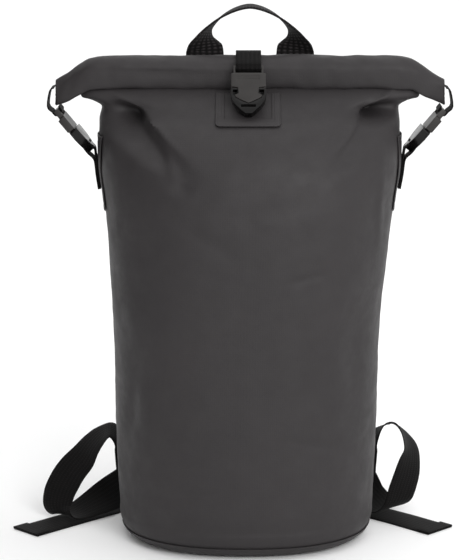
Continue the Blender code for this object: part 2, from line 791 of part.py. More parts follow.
def make_side_tab(side):
    _, up, out, _, bar = side_closure(side)
    first, second = lay_off(), lay_off(1)
    join = bar.z - 0.012
    foot = join - 0.029

    def on_side(height, stand_off):
        point = skin_point(turn_at_y(CLOSURE_Y, height, side), height, stand_off)
        point.y = CLOSURE_Y
        return point

    points = [on_side(foot, first), on_side((foot + join) / 2, first), on_side(join, first)]
    points += [on_side(join + 0.005, first + 0.001)]
    below = bar - up * 0.0045
    points.append(below - out * wrap_out(END_BAR_THICK))
    points += reversed(wrap_bar(bar, up * -1, out, END_BAR_THICK, end_bar()))
    points.append(below + out * wrap_out(END_BAR_THICK))
    points += [on_side(join + 0.002, second + 0.0018), on_side(join - 0.003, second + 0.0002)]
    points += [on_side((foot + join) / 2, second), on_side(foot, second)]
    return ribbon("side_tab_" + SIDES[side], [(p, Vector((0, 1, 0))) for p in points], WEB_TAB)


# Grab handle. out is a share of half HANDLE_SPAN, rise of HANDLE_RISE, twist in degrees.
Arch = namedtuple("Arch", "out rise twist")
ARCH = (
    Arch(1.00, -0.30, 0),
    Arch(1.00, 0.00, 12),
    Arch(1.01, 0.15, 34),
    Arch(1.00, 0.30, 62),
    Arch(0.95, 0.44, 76),
    Arch(0.86, 0.56, 82),
    Arch(0.665, 0.735, 86),
    Arch(0.36, 0.91, 89),
    Arch(0.00, 1.00, 90),
)
HANDLE_Y = 0.027


def make_handle():
    half = HANDLE_SPAN / 2
    places = []
    for side in (LEFT, RIGHT):
        x = LEAN + side * half
        foot = [(on_back(x, YOKE_TOP - down, lay_off() + HANDLE_THICK / 2), None) for down in HANDLE_FOOT]
        rows = [
            (Vector((LEAN + side * half * row.out, HANDLE_Y, ROLL_TOP + HANDLE_RISE * row.rise)), row.twist)
            for row in ARCH
        ]
        arm = foot + rows
        places += arm if side == LEFT else arm[-2::-1]
    stops = []
    for i, (point, twist) in enumerate(places):
        if twist is None:
            turn = turn_at_x(point.x, point.z, back=True)
            stops.append((point, skin_across(turn, point.z) * (LEFT if point.x < LEAN else RIGHT)))
            continue
        along = places[min(len(places) - 1, i + 1)][0] - places[max(0, i - 1)][0]
        along.normalize()
        flat = Vector((along.z, 0, -along.x))
        turned = math.radians(twist)
        stops.append((point, flat * math.cos(turned) + Vector((0, 1, 0)) * math.sin(turned)))
    path = smooth_path(stops, 2)
    for i, (point, across) in enumerate(path):
        if point.z < NECK_TOP:
            path[i : i + 1] = clear_of_bag([(point, across)], WEB_WIDE, HANDLE_THICK / 2 + 2 * PATCH_GAP)
    return ribbon("handle", path, WEB_WIDE, HANDLE_THICK)


# Shoulder straps. height is a share of NECK_TOP, out of SHOULDER_WIDTH / 2, bow and wide of
# STRAP_WIDTH.
Pad = namedtuple("Pad", "height out bow wide")
PADS = (
    Pad(0.150, 0.545, 0.180, 0.72),
    Pad(0.185, 0.460, 0.160, 0.80),
    Pad(0.225, 0.405, 0.160, 0.86),
    Pad(0.300, 0.370, 0.180, 0.92),
    Pad(0.400, 0.360, 0.220, 1.00),
    Pad(0.560, 0.350, 0.240, 1.00),
    Pad(0.720, 0.345, 0.140, 1.00),
    Pad(0.815, 0.345, 0.030, 1.00),
    Pad(0.862, 0.345, 0.000, 0.98),
)
PAD_EDGE = ((1, 0), (0.93, 0.75), (0.78, 1), (0, 1), (-0.78, 1), (-0.93, 0.75),
            (-1, 0), (-0.93, -0.75), (-0.78, -1), (0, -1), (0.78, -1), (0.93, -0.75))


def pad_middle(side, share):
    """Middle and width of a shoulder strap where its height is this share of NECK_TOP."""
    row = read_row(PADS, share)
    height, width = share * NECK_TOP, row.wide * STRAP_WIDTH
    x = LEAN / 2 + side * row.out * SHOULDER_WIDTH / 2
    under = max(
        on_back(x + width * reach, height + width * lift, 0.0).y
        for reach in (-0.5, -0.25, 0, 0.25, 0.5)
        for lift in (-0.1, 0, 0.1)
    )
    off = STRAP_THICK / 2 + PATCH_THICK + PATCH_GAP + LAY_SLACK + row.bow * STRAP_WIDTH
    return Vector((x, under + off, height)), width


def pad_frame(side, share):
    """Middle, width, direction down and face normal of a shoulder strap."""
    middle, width = pad_middle(side, share)
    above, _ = pad_middle(side, min(PADS[-1].height, share + 0.012))
    below, _ = pad_middle(side, max(PADS[0].height, share - 0.012))
    down = (below - above).normalized()
    face = Vector((0, 1, 0))
    return middle, width, down, (face - down * face.dot(down)).normalized()


def make_shoulder_strap(side):
    bm = bmesh.new()
    rings = []
    for i in range(PAD_RINGS):
        share = PADS[-1].height + (PADS[0].height - PADS[-1].height) * i / (PAD_RINGS - 1)
        middle, width, down, face = pad_frame(side, share)
        wide = down.cross(face) * (width / 2)
        rings.append([middle + wide * a + face * (b * STRAP_THICK / 2) for a, b in PAD_EDGE])
    loft(bm, rings)
    return finish("shoulder_strap_" + SIDES[side], bm, *WEBBING)


def lock_frame(side):
    """Middle, down direction, face normal and across direction of a ladder lock."""
    low, _, down, face = pad_frame(side, PADS[0].height)
    middle = low + down * (LOCK_LENGTH / 2 + 0.006)
    return middle, down, face, face.cross(down).normalized() * -side


def make_ladder_lock(side):
    middle, down, face, across = lock_frame(side)
    half, tall = LOCK_WIDTH / 2, LOCK_LENGTH / 2
    bm = bmesh.new()
    plate(bm, [(half - 0.002, tall), (half, tall - 0.004), (half, -tall + 0.004), (half - 0.002, -tall),
               (-half + 0.002, -tall), (-half, -tall + 0.004), (-half, tall - 0.004), (-half + 0.002, tall)],
          -LOCK_THICK / 2, LOCK_THICK / 2)
    place = frame_at(middle, down * -1, face)
    lock = finish("ladder_lock_" + SIDES[side], bm, *PLASTIC)
    lock.matrix_world = place
    slot = (LOCK_LENGTH - 3 * LOCK_BAR) / 2
    wide = WEB_WIDE / 2 + CLEARANCE
    bm = bmesh.new()
    for low in (-tall + LOCK_BAR, -tall + 2 * LOCK_BAR + slot):
        box(bm, (-wide, wide), (-LOCK_THICK, LOCK_THICK), (low, low + slot))
    combine(lock, cutter("ladder_lock_slots_" + SIDES[side], bm, place), "DIFFERENCE")
    return lock


def make_strap_tab(side):
    """The webbing that holds the ladder lock's upper bar to the shoulder strap."""
    middle, down, face, across = lock_frame(side)
    bar = middle - down * (LOCK_LENGTH - LOCK_BAR) / 2
    over = STRAP_THICK / 2 + CLEARANCE + LAY_SLACK + WEB_THICK / 2
    path = []
    for up in (0.030, 0.022, 0.014, 0.007, 0.0):
        low, _, along, out = pad_frame(side, PADS[0].height + up / NECK_TOP)
        path.append((low + out * over, along.cross(out)))
    path = [(point, way if way.dot(across) > 0 else way * -1) for point, way in path]
    path += [(point, across) for point in wrap_bar(bar, down * -1, face, LOCK_THICK, LOCK_BAR)]
    return ribbon("strap_tab_" + SIDES[side], path, WEB_WIDE * 0.94)


# Lower webbing. out is measured sideways from the base's side, back from the middle, and the strap's
# across direction has the shares inward, rear and up.
Bend = namedtuple("Bend", "out back height inward rear up")
BENDS = {
    LEFT: (
        Bend(0.0095, 0.035, 0.0940, -0.08, -0.97, -0.12),
        Bend(0.0215, 0.034, 0.0880, 0.10, -0.93, -0.30),
        Bend(0.0315, 0.032, 0.0775, 0.32, -0.86, -0.38),
        Bend(0.0400, 0.030, 0.0650, 0.58, -0.73, -0.35),
        Bend(0.0505, 0.028, 0.0530, 0.74, -0.62, -0.28),
        Bend(0.0585, 0.026, 0.0405, 0.84, -0.52, -0.14),
        Bend(0.0640, 0.023, 0.0285, 0.86, -0.50, 0.00),
        Bend(0.0655, 0.020, 0.0150, 0.80, -0.60, 0.00),
        Bend(0.0580, 0.022, 0.0065, 0.77, -0.64, 0.00),
        Bend(0.0430, 0.033, 0.0068, 0.64, -0.74, -0.14),
        Bend(0.0250, 0.048, 0.0120, 0.40, -0.80, -0.45),
        Bend(0.0110, 0.064, 0.0170, 0.30, -0.68, -0.66),
        Bend(-0.0030, 0.084, 0.0210, 0.50, -0.42, -0.75),
    ),
    RIGHT: (
        Bend(0.0130, 0.036, 0.0985, 0.00, -0.95, 0.30),
        Bend(0.0255, 0.036, 0.0990, 0.05, -0.95, 0.28),
        Bend(0.0395, 0.035, 0.0762, 0.42, -0.86, 0.22),
        Bend(0.0385, 0.032, 0.0550, 0.70, -0.70, 0.10),
        Bend(0.0335, 0.029, 0.0360, 0.80, -0.60, 0.00),
        Bend(0.0265, 0.028, 0.0180, 0.78, -0.62, 0.00),
        Bend(0.0155, 0.038, 0.0080, 0.74, -0.66, -0.05),
        Bend(0.0010, 0.060, 0.0110, 0.70, -0.66, -0.25),
    ),
}
# Free tails on the floor: where each leaves the bag's side, and the length from there to its end.
Tail = namedtuple("Tail", "out back length hem")
TAILS = {LEFT: Tail(0.007, 0.068, 0.124, 0.016), RIGHT: Tail(-0.004, 0.058, 0.102, 0.014)}
TAIL_HEADING = math.radians(45)
LOOP_GAP = 0.0035
# How a tail falls from its ladder lock to the floor. out, back and down are measured from where it
# leaves the lock, and its across direction has the shares outward, rear and up.
Fall = namedtuple("Fall", "out back down outward rear up")
FALLS = (
    Fall(0.0050, 0.0005, 0.0062, 0.76, 0.00, 0.64),
    Fall(0.0090, 0.0030, 0.0150, 0.85, 0.00, 0.50),
    Fall(0.0112, 0.0060, 0.0280, 0.95, 0.05, 0.28),
    Fall(0.0122, 0.0030, 0.0416, 0.98, 0.15, 0.06),
    Fall(0.0142, -0.0070, 0.0450, 0.95, 0.30, 0.00),
    Fall(0.0200, -0.0220, 0.0450, 0.86, 0.50, 0.00),
)


def make_lower_webbing(side):
    middle, down, face, lock_across = lock_frame(side)
    half = BASE_WIDTH / 2
    stops = []
    for up in (0.004, 0.020, 0.036):
        height = ANCHOR_PATCH_LOW + up
        turn = turn_at_y(ANCHOR_DEPTH, height, side)
        stops.append((skin_point(turn, height, lay_off()), skin_across(turn, height) * -side))
    for bend in BENDS[side]:
        point = Vector((side * (half + bend.out), bend.back, bend.height))
        stops.append((point, Vector((-side * bend.inward, bend.rear, bend.up))))
    bar = middle + down * (LOCK_LENGTH - LOCK_BAR) / 2
    radius = wrap_out(LOCK_THICK)
    across = lock_across if lock_across.dot(stops[-1][1]) > 0 else lock_across * -1
    for below, inward in ((0.027, 0.0040), (0.015, 0.0008), (0.006, 0.0)):
        stops.append((bar - face * (radius + inward) + down * below, across))
    path = smooth_path(stops, 3)
    path[3:] = over_floor(clear_of_bag(path[3:], WEB_WIDE, lay_off() + LAY_SLACK), WEB_WIDE, LOOP_GAP)
    path += [(point, across) for point in wrap_bar(bar, down, face * -1, LOCK_THICK, LOCK_BAR)]
    tail = TAILS[side]
    flat = WEB_THICK / 2 + 0.0002
    heading = Vector((side * math.sin(TAIL_HEADING), -math.cos(TAIL_HEADING), 0))
    level = Vector((side * math.cos(TAIL_HEADING), math.sin(TAIL_HEADING), 0))
    flip = 1 if level.dot(across) > 0 else -1
    level *= flip
    start = Vector((side * (half + tail.out), tail.back, flat))
    end = start + heading * tail.length
    last = path[-1][0]
    stops = [(last, across)]
    for fall in FALLS:
        point = last + Vector((side * fall.out, fall.back, -fall.down))
        stops.append((point, Vector((side * fall.outward, fall.rear, fall.up)) * flip))
    stops += [(start, level), (start + heading * tail.length / 2, level), (end - heading * 0.002, level)]
    path += over_floor(smooth_path(stops, 3)[1:], WEB_WIDE, CLEARANCE / 2)
    fold = (WEB_THICK + CLEARANCE) / 2
    up = Vector((0, 0, 1))
    path += [(point, level) for point in wrap(end + up * fold, heading * -1, up * -1, fold, fold, 4)[1:]]
    path.append((end + up * 2 * fold - heading * tail.hem, level))
    return ribbon("lower_webbing_" + SIDES[side], path, WEB_WIDE)


def main():
    for obj in list(bpy.data.objects):
        bpy.data.objects.remove(obj)
    make_bag_body()
    make_base_panel()
    make_roll_top()
    make_front_patch()
    mouth, down, out, _ = front_closure()
    place = frame_at(mouth, down * -1, out)
    make_female("front_buckle_female", place)
    make_male("front_buckle_male", place)
    make_front_strap()
    make_front_tab()
    make_handle()
    make_back_yoke()
    for side, word in SIDES.items():
        make_side_patch(side)
        make_anchor_patch(side)
        mouth, up, out, _, _ = side_closure(side)
        place = frame_at(mouth, up, out)
        make_female("side_buckle_female_" + word, place)
        make_male("side_buckle_male_" + word, place)
        make_end_loop(side)
        make_side_tab(side)
        make_shoulder_strap(side)
        make_strap_tab(side)
        make_ladder_lock(side)
        make_lower_webbing(side)


main()
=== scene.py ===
# Waterproof roll-top backpack on a pale floor, seen from the front and a little above.
# Metres, +Z up, the front faces -Y.
import functools
import math
from collections import namedtuple

import bmesh
import bpy
from mathutils import Matrix, Vector, noise


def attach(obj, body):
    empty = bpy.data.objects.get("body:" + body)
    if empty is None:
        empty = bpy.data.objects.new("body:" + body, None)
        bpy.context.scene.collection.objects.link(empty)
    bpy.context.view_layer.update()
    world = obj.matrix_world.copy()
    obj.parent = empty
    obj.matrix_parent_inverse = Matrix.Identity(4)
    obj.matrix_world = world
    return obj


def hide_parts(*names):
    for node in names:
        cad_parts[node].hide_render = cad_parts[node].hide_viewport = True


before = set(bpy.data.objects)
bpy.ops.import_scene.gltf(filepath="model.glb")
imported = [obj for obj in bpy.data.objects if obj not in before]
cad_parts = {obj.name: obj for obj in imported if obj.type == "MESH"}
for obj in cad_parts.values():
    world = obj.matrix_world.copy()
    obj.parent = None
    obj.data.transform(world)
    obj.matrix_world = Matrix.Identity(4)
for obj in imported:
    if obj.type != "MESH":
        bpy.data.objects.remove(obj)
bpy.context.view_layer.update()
print("frame loaded,", len(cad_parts), "nodes")

# Camera, floor, black screen and lights
studio = {
    "cameraAt": (0.0, -2.27, 0.738),
    "cameraDown": 11.87,
    "cameraLens": 147.47,
    "cameraShift": -0.0286,
    "floorReach": 15.0,
    "floorColour": "#fafafa",
    "skyStrength": 1.12,
    "screenLow": (-0.75, -1.15, 0.24),
    "screenHigh": (-0.95, 0.35, 1.15),
    "screenColour": "#191919",
}

# Round lamps. place and size are in metres, aim is the height they point at over the origin, power in watts.
Lamp = namedtuple("Lamp", "name place aim size power")
lamps = (
    Lamp("key", (1.0, -2.3, 1.5), 0.25, 1.3, 28.0),
    Lamp("top", (0.2, 0.2, 2.4), 0.20, 2.2, 7.0),
    Lamp("fill", (-1.9, -1.6, 0.9), 0.25, 1.2, 0.1),
)


def linear(hexColour):
    # sRGB hex to the linear values that Blender's sockets take
    parts = [int(hexColour[i:i + 2], 16) / 255 for i in (1, 3, 5)]
    return tuple(p / 12.92 if p <= 0.04045 else ((p + 0.055) / 1.055) ** 2.4 for p in parts) + (1.0,)


def addNode(material, kind, inputs=None, **settings):
    # adds a node, sets its options, and fills or links its inputs
    node = material.node_tree.nodes.new(kind)
    for key, value in settings.items():
        setattr(node, key, value)
    for key, value in (inputs or {}).items():
        if isinstance(value, bpy.types.NodeSocket):
            material.node_tree.links.new(value, node.inputs[key])
        else:
            node.inputs[key].default_value = value
    return node


def newMaterial(name):
    material = bpy.data.materials.new(name)
    material.use_nodes = True
    return material, material.node_tree.nodes["Principled BSDF"]


def linkObject(name, data):
    made = bpy.data.objects.new(name, data)
    bpy.context.scene.collection.objects.link(made)
    return made


def stageSheet(name, corners, paintName, colour, roughness):
    # a flat sheet of the studio in its own matt paint
    mesh = bpy.data.meshes.new(name)
    mesh.from_pydata(corners, [], [(0, 1, 2, 3)])
    paint, shader = newMaterial(paintName)
    shader.inputs["Base Color"].default_value = linear(colour)
    shader.inputs["Roughness"].default_value = roughness
    mesh.materials.append(paint)
    sheet = linkObject(name, mesh)
    return sheet


def makeStudio():
    scene = bpy.context.scene
    data = bpy.data.cameras.new("camera")
    data.sensor_fit = "VERTICAL"
    data.sensor_height = 36
    data.lens = studio["cameraLens"]
    data.shift_x = studio["cameraShift"]
    data.clip_end = 60
    camera = linkObject("camera", data)
    camera.location = studio["cameraAt"]
    camera.rotation_euler = (math.radians(90 - studio["cameraDown"]), 0, 0)
    scene.camera = camera
    world = bpy.data.worlds.new("studio air")
    world.use_nodes = True
    sky = world.node_tree.nodes["Background"]
    sky.inputs["Color"].default_value = (1, 1, 1, 1)
    sky.inputs["Strength"].default_value = studio["skyStrength"]
    scene.world = world
    scene.view_settings.view_transform = "Standard"
    for lamp in lamps:
        data = bpy.data.lights.new(lamp.name, "AREA")
        data.shape = "DISK"
        data.size = lamp.size
        data.energy = lamp.power
        light = linkObject(lamp.name, data)
        light.location = lamp.place
        aim = Vector((0, 0, lamp.aim)) - Vector(lamp.place)
        light.rotation_euler = aim.to_track_quat("-Z", "Y").to_euler()
    far = studio["floorReach"]
    corners = [(-far, -far, 0), (far, -far, 0), (far, far, 0), (-far, far, 0)]
    stageSheet("floor", corners, "paintedFloor", studio["floorColour"], 0.9)
    # the screen stands out of the picture, so that the bag's left side is darker, as in the photo
    (x0, y0, z0), (x1, y1, z1) = studio["screenLow"], studio["screenHigh"]
    corners = [(x0, y0, z0), (x1, y1, z0), (x1, y1, z1), (x0, y0, z1)]
    screen = stageSheet("screen", corners, "blackFelt", studio["screenColour"], 0.5)
    screen.visible_camera = False


def noiseFac(material, scale, detail, roughness=0.5):
    place = addNode(material, "ShaderNodeTexCoord")
    noise_ = addNode(material, "ShaderNodeTexNoise", {
        "Vector": place.outputs["Object"], "Scale": scale, "Detail": detail, "Roughness": roughness})
    return noise_.outputs["Fac"]


def mixTone(material, shader, share, dark, light):
    tone = addNode(material, "ShaderNodeMix", {0: share, 6: linear(dark), 7: linear(light)}, data_type="RGBA")
    material.node_tree.links.new(tone.outputs[2], shader.inputs["Base Color"])


def varyRoughness(material, shader, value, low, high, valueLow=0.0, valueHigh=1.0):
    rough = addNode(material, "ShaderNodeMapRange", {
        "Value": value, "From Min": valueLow, "From Max": valueHigh, "To Min": low, "To Max": high})
    material.node_tree.links.new(rough.outputs["Result"], shader.inputs["Roughness"])


def threadWaves(material, pitch, lengthPitch, wander):
    # lines along the piece's own UV map times ribs across it. A wave's bands are 0.314 apart at scale 1.
    flat = addNode(material, "ShaderNodeUVMap", uv_map="UVMap")
    waves = []
    for way, apart in (("Y", lengthPitch), ("X", pitch)):
        wave = addNode(material, "ShaderNodeTexWave", {
            "Vector": flat.outputs["UV"], "Scale": 0.314 / apart, "Distortion": wander,
            "Detail": 1.0, "Detail Scale": 2.0}, bands_direction=way)
        waves.append(wave.outputs["Fac"])
    return addNode(material, "ShaderNodeMath", {0: waves[0], 1: waves[1]}, operation="MULTIPLY").outputs[0]


def addBump(material, shader, height, strength, distance, below=None):
    inputs = {"Height": height, "Strength": strength, "Distance": distance}
    if below:
        inputs["Normal"] = below.outputs["Normal"]
    bump = addNode(material, "ShaderNodeBump", inputs)
    material.node_tree.links.new(bump.outputs["Normal"], shader.inputs["Normal"])
    return bump


# Coated tarpaulin: polyester cloth laminated with matt polyurethane, which gives a soft, even,
# slightly mottled charcoal with the weave just showing through
tarpaulin = {
    "dark": "#262425",
    "light": "#302d2e",
    "shine": 0.28,
    "weavePitch": 0.0018,
    "weaveDepth": 0.10,
    "mottle": 9.0,
    "scuff": 55.0,
    "roughLow": 0.50,
    "roughHigh": 0.66,
    "creaseDepth": 0.35,
}


def coatedTarpaulin():
    material, shader = newMaterial("coatedTarpaulin")
    shader.inputs["Specular IOR Level"].default_value = tarpaulin["shine"]
    cloud = noiseFac(material, tarpaulin["mottle"], 5.0, 0.6)
    mixTone(material, shader, cloud, tarpaulin["dark"], tarpaulin["light"])
    scuff = noiseFac(material, tarpaulin["scuff"], 6.0, 0.65)
    varyRoughness(material, shader, scuff, tarpaulin["roughLow"], tarpaulin["roughHigh"], 0.3, 0.7)
    weave = threadWaves(material, tarpaulin["weavePitch"], tarpaulin["weavePitch"], 0.0)
    threads = addBump(material, shader, weave, tarpaulin["weaveDepth"], 0.0004)
    addBump(material, shader, scuff, tarpaulin["creaseDepth"], 0.0012, threads)
    return material


# Woven cloths. pitch and lengthPitch are the weave's steps in metres, depth its bump's strength.
# The webbing is drawn coarser than the real 1 mm so that its ribs show.
# dark is painted in the weave's grooves as shade, light on its crests as highlight
Weave = namedtuple("Weave", "name dark light pitch lengthPitch depth rough sheen")
webbingWeave = Weave("polyamideWebbing", "#090808", "#1d1b1b", 0.0024, 0.0021, 0.4, 0.74, 0.03)
handleWeave = Weave("knittedHandleWebbing", "#121111", "#4a4647", 0.0034, 0.0030, 0.9, 0.85, 0.04)
padWeave = Weave("spacerMesh", "#121212", "#2e2c2c", 0.0032, 0.0032, 0.8, 0.85, 0.12)


def ribbedCloth(weave):
    material, shader = newMaterial(weave.name)
    shader.inputs["Sheen Weight"].default_value = weave.sheen
    shader.inputs["Sheen Roughness"].default_value = 0.5
    shader.inputs["Specular IOR Level"].default_value = 0.08
    ribs = threadWaves(material, weave.pitch, weave.lengthPitch, 0.8)
    fuzz = noiseFac(material, 900.0, 3.0)
    # the colour follows the ribs' bump: painted highlight on the crests and painted shade in the grooves,
    # times a random fuzz of tone
    both = addNode(material, "ShaderNodeMath", {0: ribs, 1: fuzz}, operation="MULTIPLY")
    mixTone(material, shader, both.outputs[0], weave.dark, weave.light)
    varyRoughness(material, shader, fuzz, weave.rough - 0.1, weave.rough + 0.1)
    addBump(material, shader, ribs, weave.depth, 0.0005)
    return material


# Moulded acetal: a tough, slightly waxy plastic with the mould's fine spark texture on it
acetal = {"ior": 1.48, "cloud": 120.0, "grit": 1600.0, "gritDepth": 0.12}


def mouldedAcetal(name, dark, light, roughness, shine):
    material, shader = newMaterial(name)
    shader.inputs["IOR"].default_value = acetal["ior"]
    shader.inputs["Specular IOR Level"].default_value = shine
    cloud = noiseFac(material, acetal["cloud"], 3.0)
    mixTone(material, shader, cloud, dark, light)
    varyRoughness(material, shader, cloud, roughness - 0.05, roughness + 0.07)
    addBump(material, shader, noiseFac(material, acetal["grit"], 2.0), acetal["gritDepth"], 0.0002)
    return material


makeStudio()
tarpaulinCloth = coatedTarpaulin()
webbingCloth = ribbedCloth(webbingWeave)
handleCloth = ribbedCloth(handleWeave)
padCloth = ribbedCloth(padWeave)
# one black acetal in two copies: the plug's lighter colours are a painted highlight where its plate faces the
# light, the socket's darker colours a painted shade
plugPlasticPaintedHighlight = mouldedAcetal("satinAcetalPaintedHighlight", "#1a1716", "#211e1c", 0.40, 0.42)
socketPlasticPaintedShade = mouldedAcetal("glossyAcetalPaintedShade", "#070606", "#0d0c0c", 0.22, 0.24)
print("studio and materials ready")

# Bag
bagForm = {
    "rollTop": 0.490,
    "baseWidth": 0.2616,
    "shoulderWidth": 0.301,
    "neckWidth": 0.339,
    "frontDepth": 0.115,
    "backDepth": 0.105,
    "baseRound": 0.026,
    "baseRim": 0.011,
    "wall": 0.0012,
    "baseWall": 0.0014,
    "lean": 0.0040,
    "clearance": 0.0003,
}

# Rolled mouth
rolledMouth = {
    "rollWidth": 0.3854,
    "rollHeight": 0.029,
    "rollDepth": 0.042,
    "rollDroop": 0.021,
    "rollPitch": 0.30,
    "rollForward": 0.006,
}

# Webbing
strap = {
    "webWide": 0.038,
    "webNarrow": 0.025,
    "webTab": 0.019,
    "webThick": 0.0013,
    "wrapSlack": 0.0008,
    "laySlack": 0.0003,
}

# Welded patches
patches = {
    "patchThick": 0.0010,
    "patchFrame": 0.0006,
    "patchGap": 0.0002,
    "frontPatchWidth": 0.0635,
    "frontPatchTop": 0.4532,
    "frontPatchHeight": 0.0272,
    "frontPatchSteep": 0.68,
    "frontPatchBorder": 0.0085,
    "frontPatchCorner": 0.004,
    "sidePatchWidth": 0.056,
    "sidePatchHeight": 0.074,
    "sidePatchTop": 0.411,
    "anchorPatchWidth": 0.052,
    "anchorPatchHeight": 0.050,
    "anchorPatchLow": 0.046,
    "anchorDepth": 0.034,
    "yokeWidth": 0.190,
    "yokeHeight": 0.076,
    "yokeTop": 0.440,
}

# Side-release buckles
clips = {
    "femaleLength": 0.036,
    "femaleThick": 0.0098,
    "maleLength": 0.0165,
    "maleThick": 0.0056,
    "buckleBar": 0.0034,
    "buckleSlot": 0.0048,
    "endBarThick": 0.0050,
    "frontBuckleTilt": math.radians(36),
    "frontBuckleLead": 0.010,
    "sideBuckleHeight": 0.3975,
}

# Handle and shoulder straps
carry = {
    "handleRise": 0.0445,
    "handleSpan": 0.0905,
    "handleThick": 0.0021,
    "handleFoot": (0.036, 0.027, 0.018, 0.010, 0.003),
    "strapWidth": 0.060,
    "strapThick": 0.009,
    "lockLength": 0.026,
    "lockThick": 0.0042,
    "lockBar": 0.0036,
}

leftSide, rightSide = -1, 1
sideWords = {leftSide: "left", rightSide: "right"}
neckTop = bagForm["rollTop"] - rolledMouth["rollHeight"] - 2 * bagForm["clearance"]
strapX = bagForm["lean"] * 0.6
closureY = -0.004
handleY = 0.027
tailHeading = math.radians(45)
loopGap = 0.0035


# One row for each level of the tube. height is a share of the neck's height, flare runs from 0, the
# base's width, through 1, the shoulder's, to 2, the neck's. front, back and lean are shares of
# bagForm["frontDepth"], bagForm["backDepth"] and bagForm["lean"], and square is the outline's exponent.
Level = namedtuple("Level", "height flare front back square lean")
levels = (
    Level(0.056, -0.04, 0.990, 0.985, 2.30, 0.00),
    Level(0.110, 0.00, 1.000, 1.000, 2.35, 0.00),
    Level(0.250, 0.12, 1.000, 1.000, 2.35, 0.00),
    Level(0.400, 0.16, 0.990, 0.995, 2.35, 0.10),
    Level(0.520, 0.27, 0.985, 0.990, 2.35, 0.15),
    Level(0.650, 0.53, 0.970, 0.980, 2.35, 0.60),
    Level(0.760, 0.76, 0.945, 0.950, 2.35, 0.80),
    Level(0.830, 0.98, 0.890, 0.900, 2.30, 0.90),
    Level(0.880, 1.00, 0.780, 0.760, 2.30, 0.90),
    Level(0.925, 0.98, 0.600, 0.560, 2.30, 0.90),
    Level(0.952, 0.88, 0.410, 0.400, 2.40, 1.00),
    Level(0.965, 1.30, 0.330, 0.320, 2.60, 1.00),
    Level(0.980, 1.90, 0.240, 0.230, 3.00, 1.00),
    Level(1.000, 2.00, 0.120, 0.130, 3.60, 1.00),
)


# Dents and folds. across is a share of the half width, height of the neck's height, wide, tall and
# push of bagForm["shoulderWidth"], and slant turns the dent's long axis, in degrees.
Dent = namedtuple("Dent", "across height wide tall slant push")
dents = (
    Dent(-0.82, 0.943, 0.048, 0.030, 0, 0.060),
    Dent(0.84, 0.950, 0.055, 0.022, 0, 0.055),
    Dent(-0.64, 0.880, 0.120, 0.035, -33, 0.030),
    Dent(0.72, 0.905, 0.110, 0.035, 40, 0.018),
    Dent(-0.72, 0.640, 0.050, 0.170, 0, 0.008),
    Dent(0.80, 0.420, 0.040, 0.200, 0, 0.008),
)


# The rolled mouth along its length. out is a share of its half width, and droop, tall and deep are
# shares of rolledMouth["rollDroop"], rolledMouth["rollHeight"] and rolledMouth["rollDepth"].
Station = namedtuple("Station", "out droop tall deep")
stations = (
    Station(0.00, 0.00, 1.00, 1.00),
    Station(0.30, 0.00, 1.00, 1.00),
    Station(0.55, 0.00, 1.00, 1.00),
    Station(0.74, 0.00, 1.00, 0.97),
    Station(0.82, 0.08, 0.98, 0.90),
    Station(0.88, 0.38, 0.94, 0.78),
    Station(0.94, 0.72, 0.90, 0.62),
    Station(1.00, 1.00, 0.86, 0.48),
)


# The table's row at this value of its first column, by cubic steps between the rows.
def readRow(table, at):
    keys = [row[0] for row in table]
    if at <= keys[0]:
        return table[0]
    if at >= keys[-1]:
        return table[-1]
    low = max(i for i, key in enumerate(keys) if key <= at)
    span = keys[low + 1] - keys[low]
    t = (at - keys[low]) / span

    def slope(i, column):
        if i == 0 or i == len(table) - 1:
            return (table[low + 1][column] - table[low][column]) / span
        before = (table[i][column] - table[i - 1][column]) / (keys[i] - keys[i - 1])
        after = (table[i + 1][column] - table[i][column]) / (keys[i + 1] - keys[i])
        return 0.0 if before * after <= 0 else 2 * before * after / (before + after)

    values = [at]
    for column in range(1, len(table[0])):
        a, b = table[low][column], table[low + 1][column]
        start, end = slope(low, column) * span, slope(low + 1, column) * span
        values.append(
            a * (2 * t**3 - 3 * t**2 + 1)
            + start * (t**3 - 2 * t**2 + t)
            + b * (3 * t**2 - 2 * t**3)
            + end * (t**3 - t**2)
        )
    return type(table[0])(*values)


def power(value, exponent):
    return math.copysign(abs(value) ** exponent, value)


# The rolled mouth's section at this distance from its middle.
def rollStation(x):
    station = readRow(stations, min(1.0, abs(x - bagForm["lean"]) / (rolledMouth["rollWidth"] / 2)))
    height, halves = rolledMouth["rollHeight"], 2 - rolledMouth["rollPitch"] / 2
    halfTall = height * station.tall / halves
    halfDeep = rolledMouth["rollDepth"] * station.deep / halves
    middle = bagForm["rollTop"] - height + height / halves - rolledMouth["rollDroop"] * station.droop
    return halfTall, halfDeep, middle


# How far the neck's top edge hangs below neckTop, under the drooping roll.
def neckDrop(x):
    halfTall, _, middle = rollStation(x)
    return neckTop - (middle - halfTall - 2 * bagForm["clearance"])


# Half width, front depth, back depth, exponent and lean of the tube at this height.
@functools.lru_cache(None)
def bodySize(height):
    level = readRow(levels, height / neckTop)
    widths = (bagForm["baseWidth"], bagForm["shoulderWidth"], bagForm["neckWidth"])
    part = 1 if level.flare > 1 else 0
    width = widths[part] + (widths[part + 1] - widths[part]) * (level.flare - part)
    front, back = bagForm["frontDepth"] * level.front, bagForm["backDepth"] * level.back
    return width / 2, front, back, level.square, bagForm["lean"] * level.lean


def dentPush(x, y, height, halfWidth, depth):
    if y >= 0:
        return 0.0
    total, size = 0.0, bagForm["shoulderWidth"]
    for dent in dents:
        slant = math.radians(dent.slant)
        dx = x - dent.across * halfWidth
        dz = height - dent.height * neckTop
        along = dx * math.cos(slant) + dz * math.sin(slant)
        over = dz * math.cos(slant) - dx * math.sin(slant)
        reach = (along / (dent.wide * size)) ** 2 + (over / (dent.tall * size)) ** 2
        total += dent.push * size * math.exp(-reach)
    return total * min(1.0, max(0.0, -y / (0.35 * depth)))


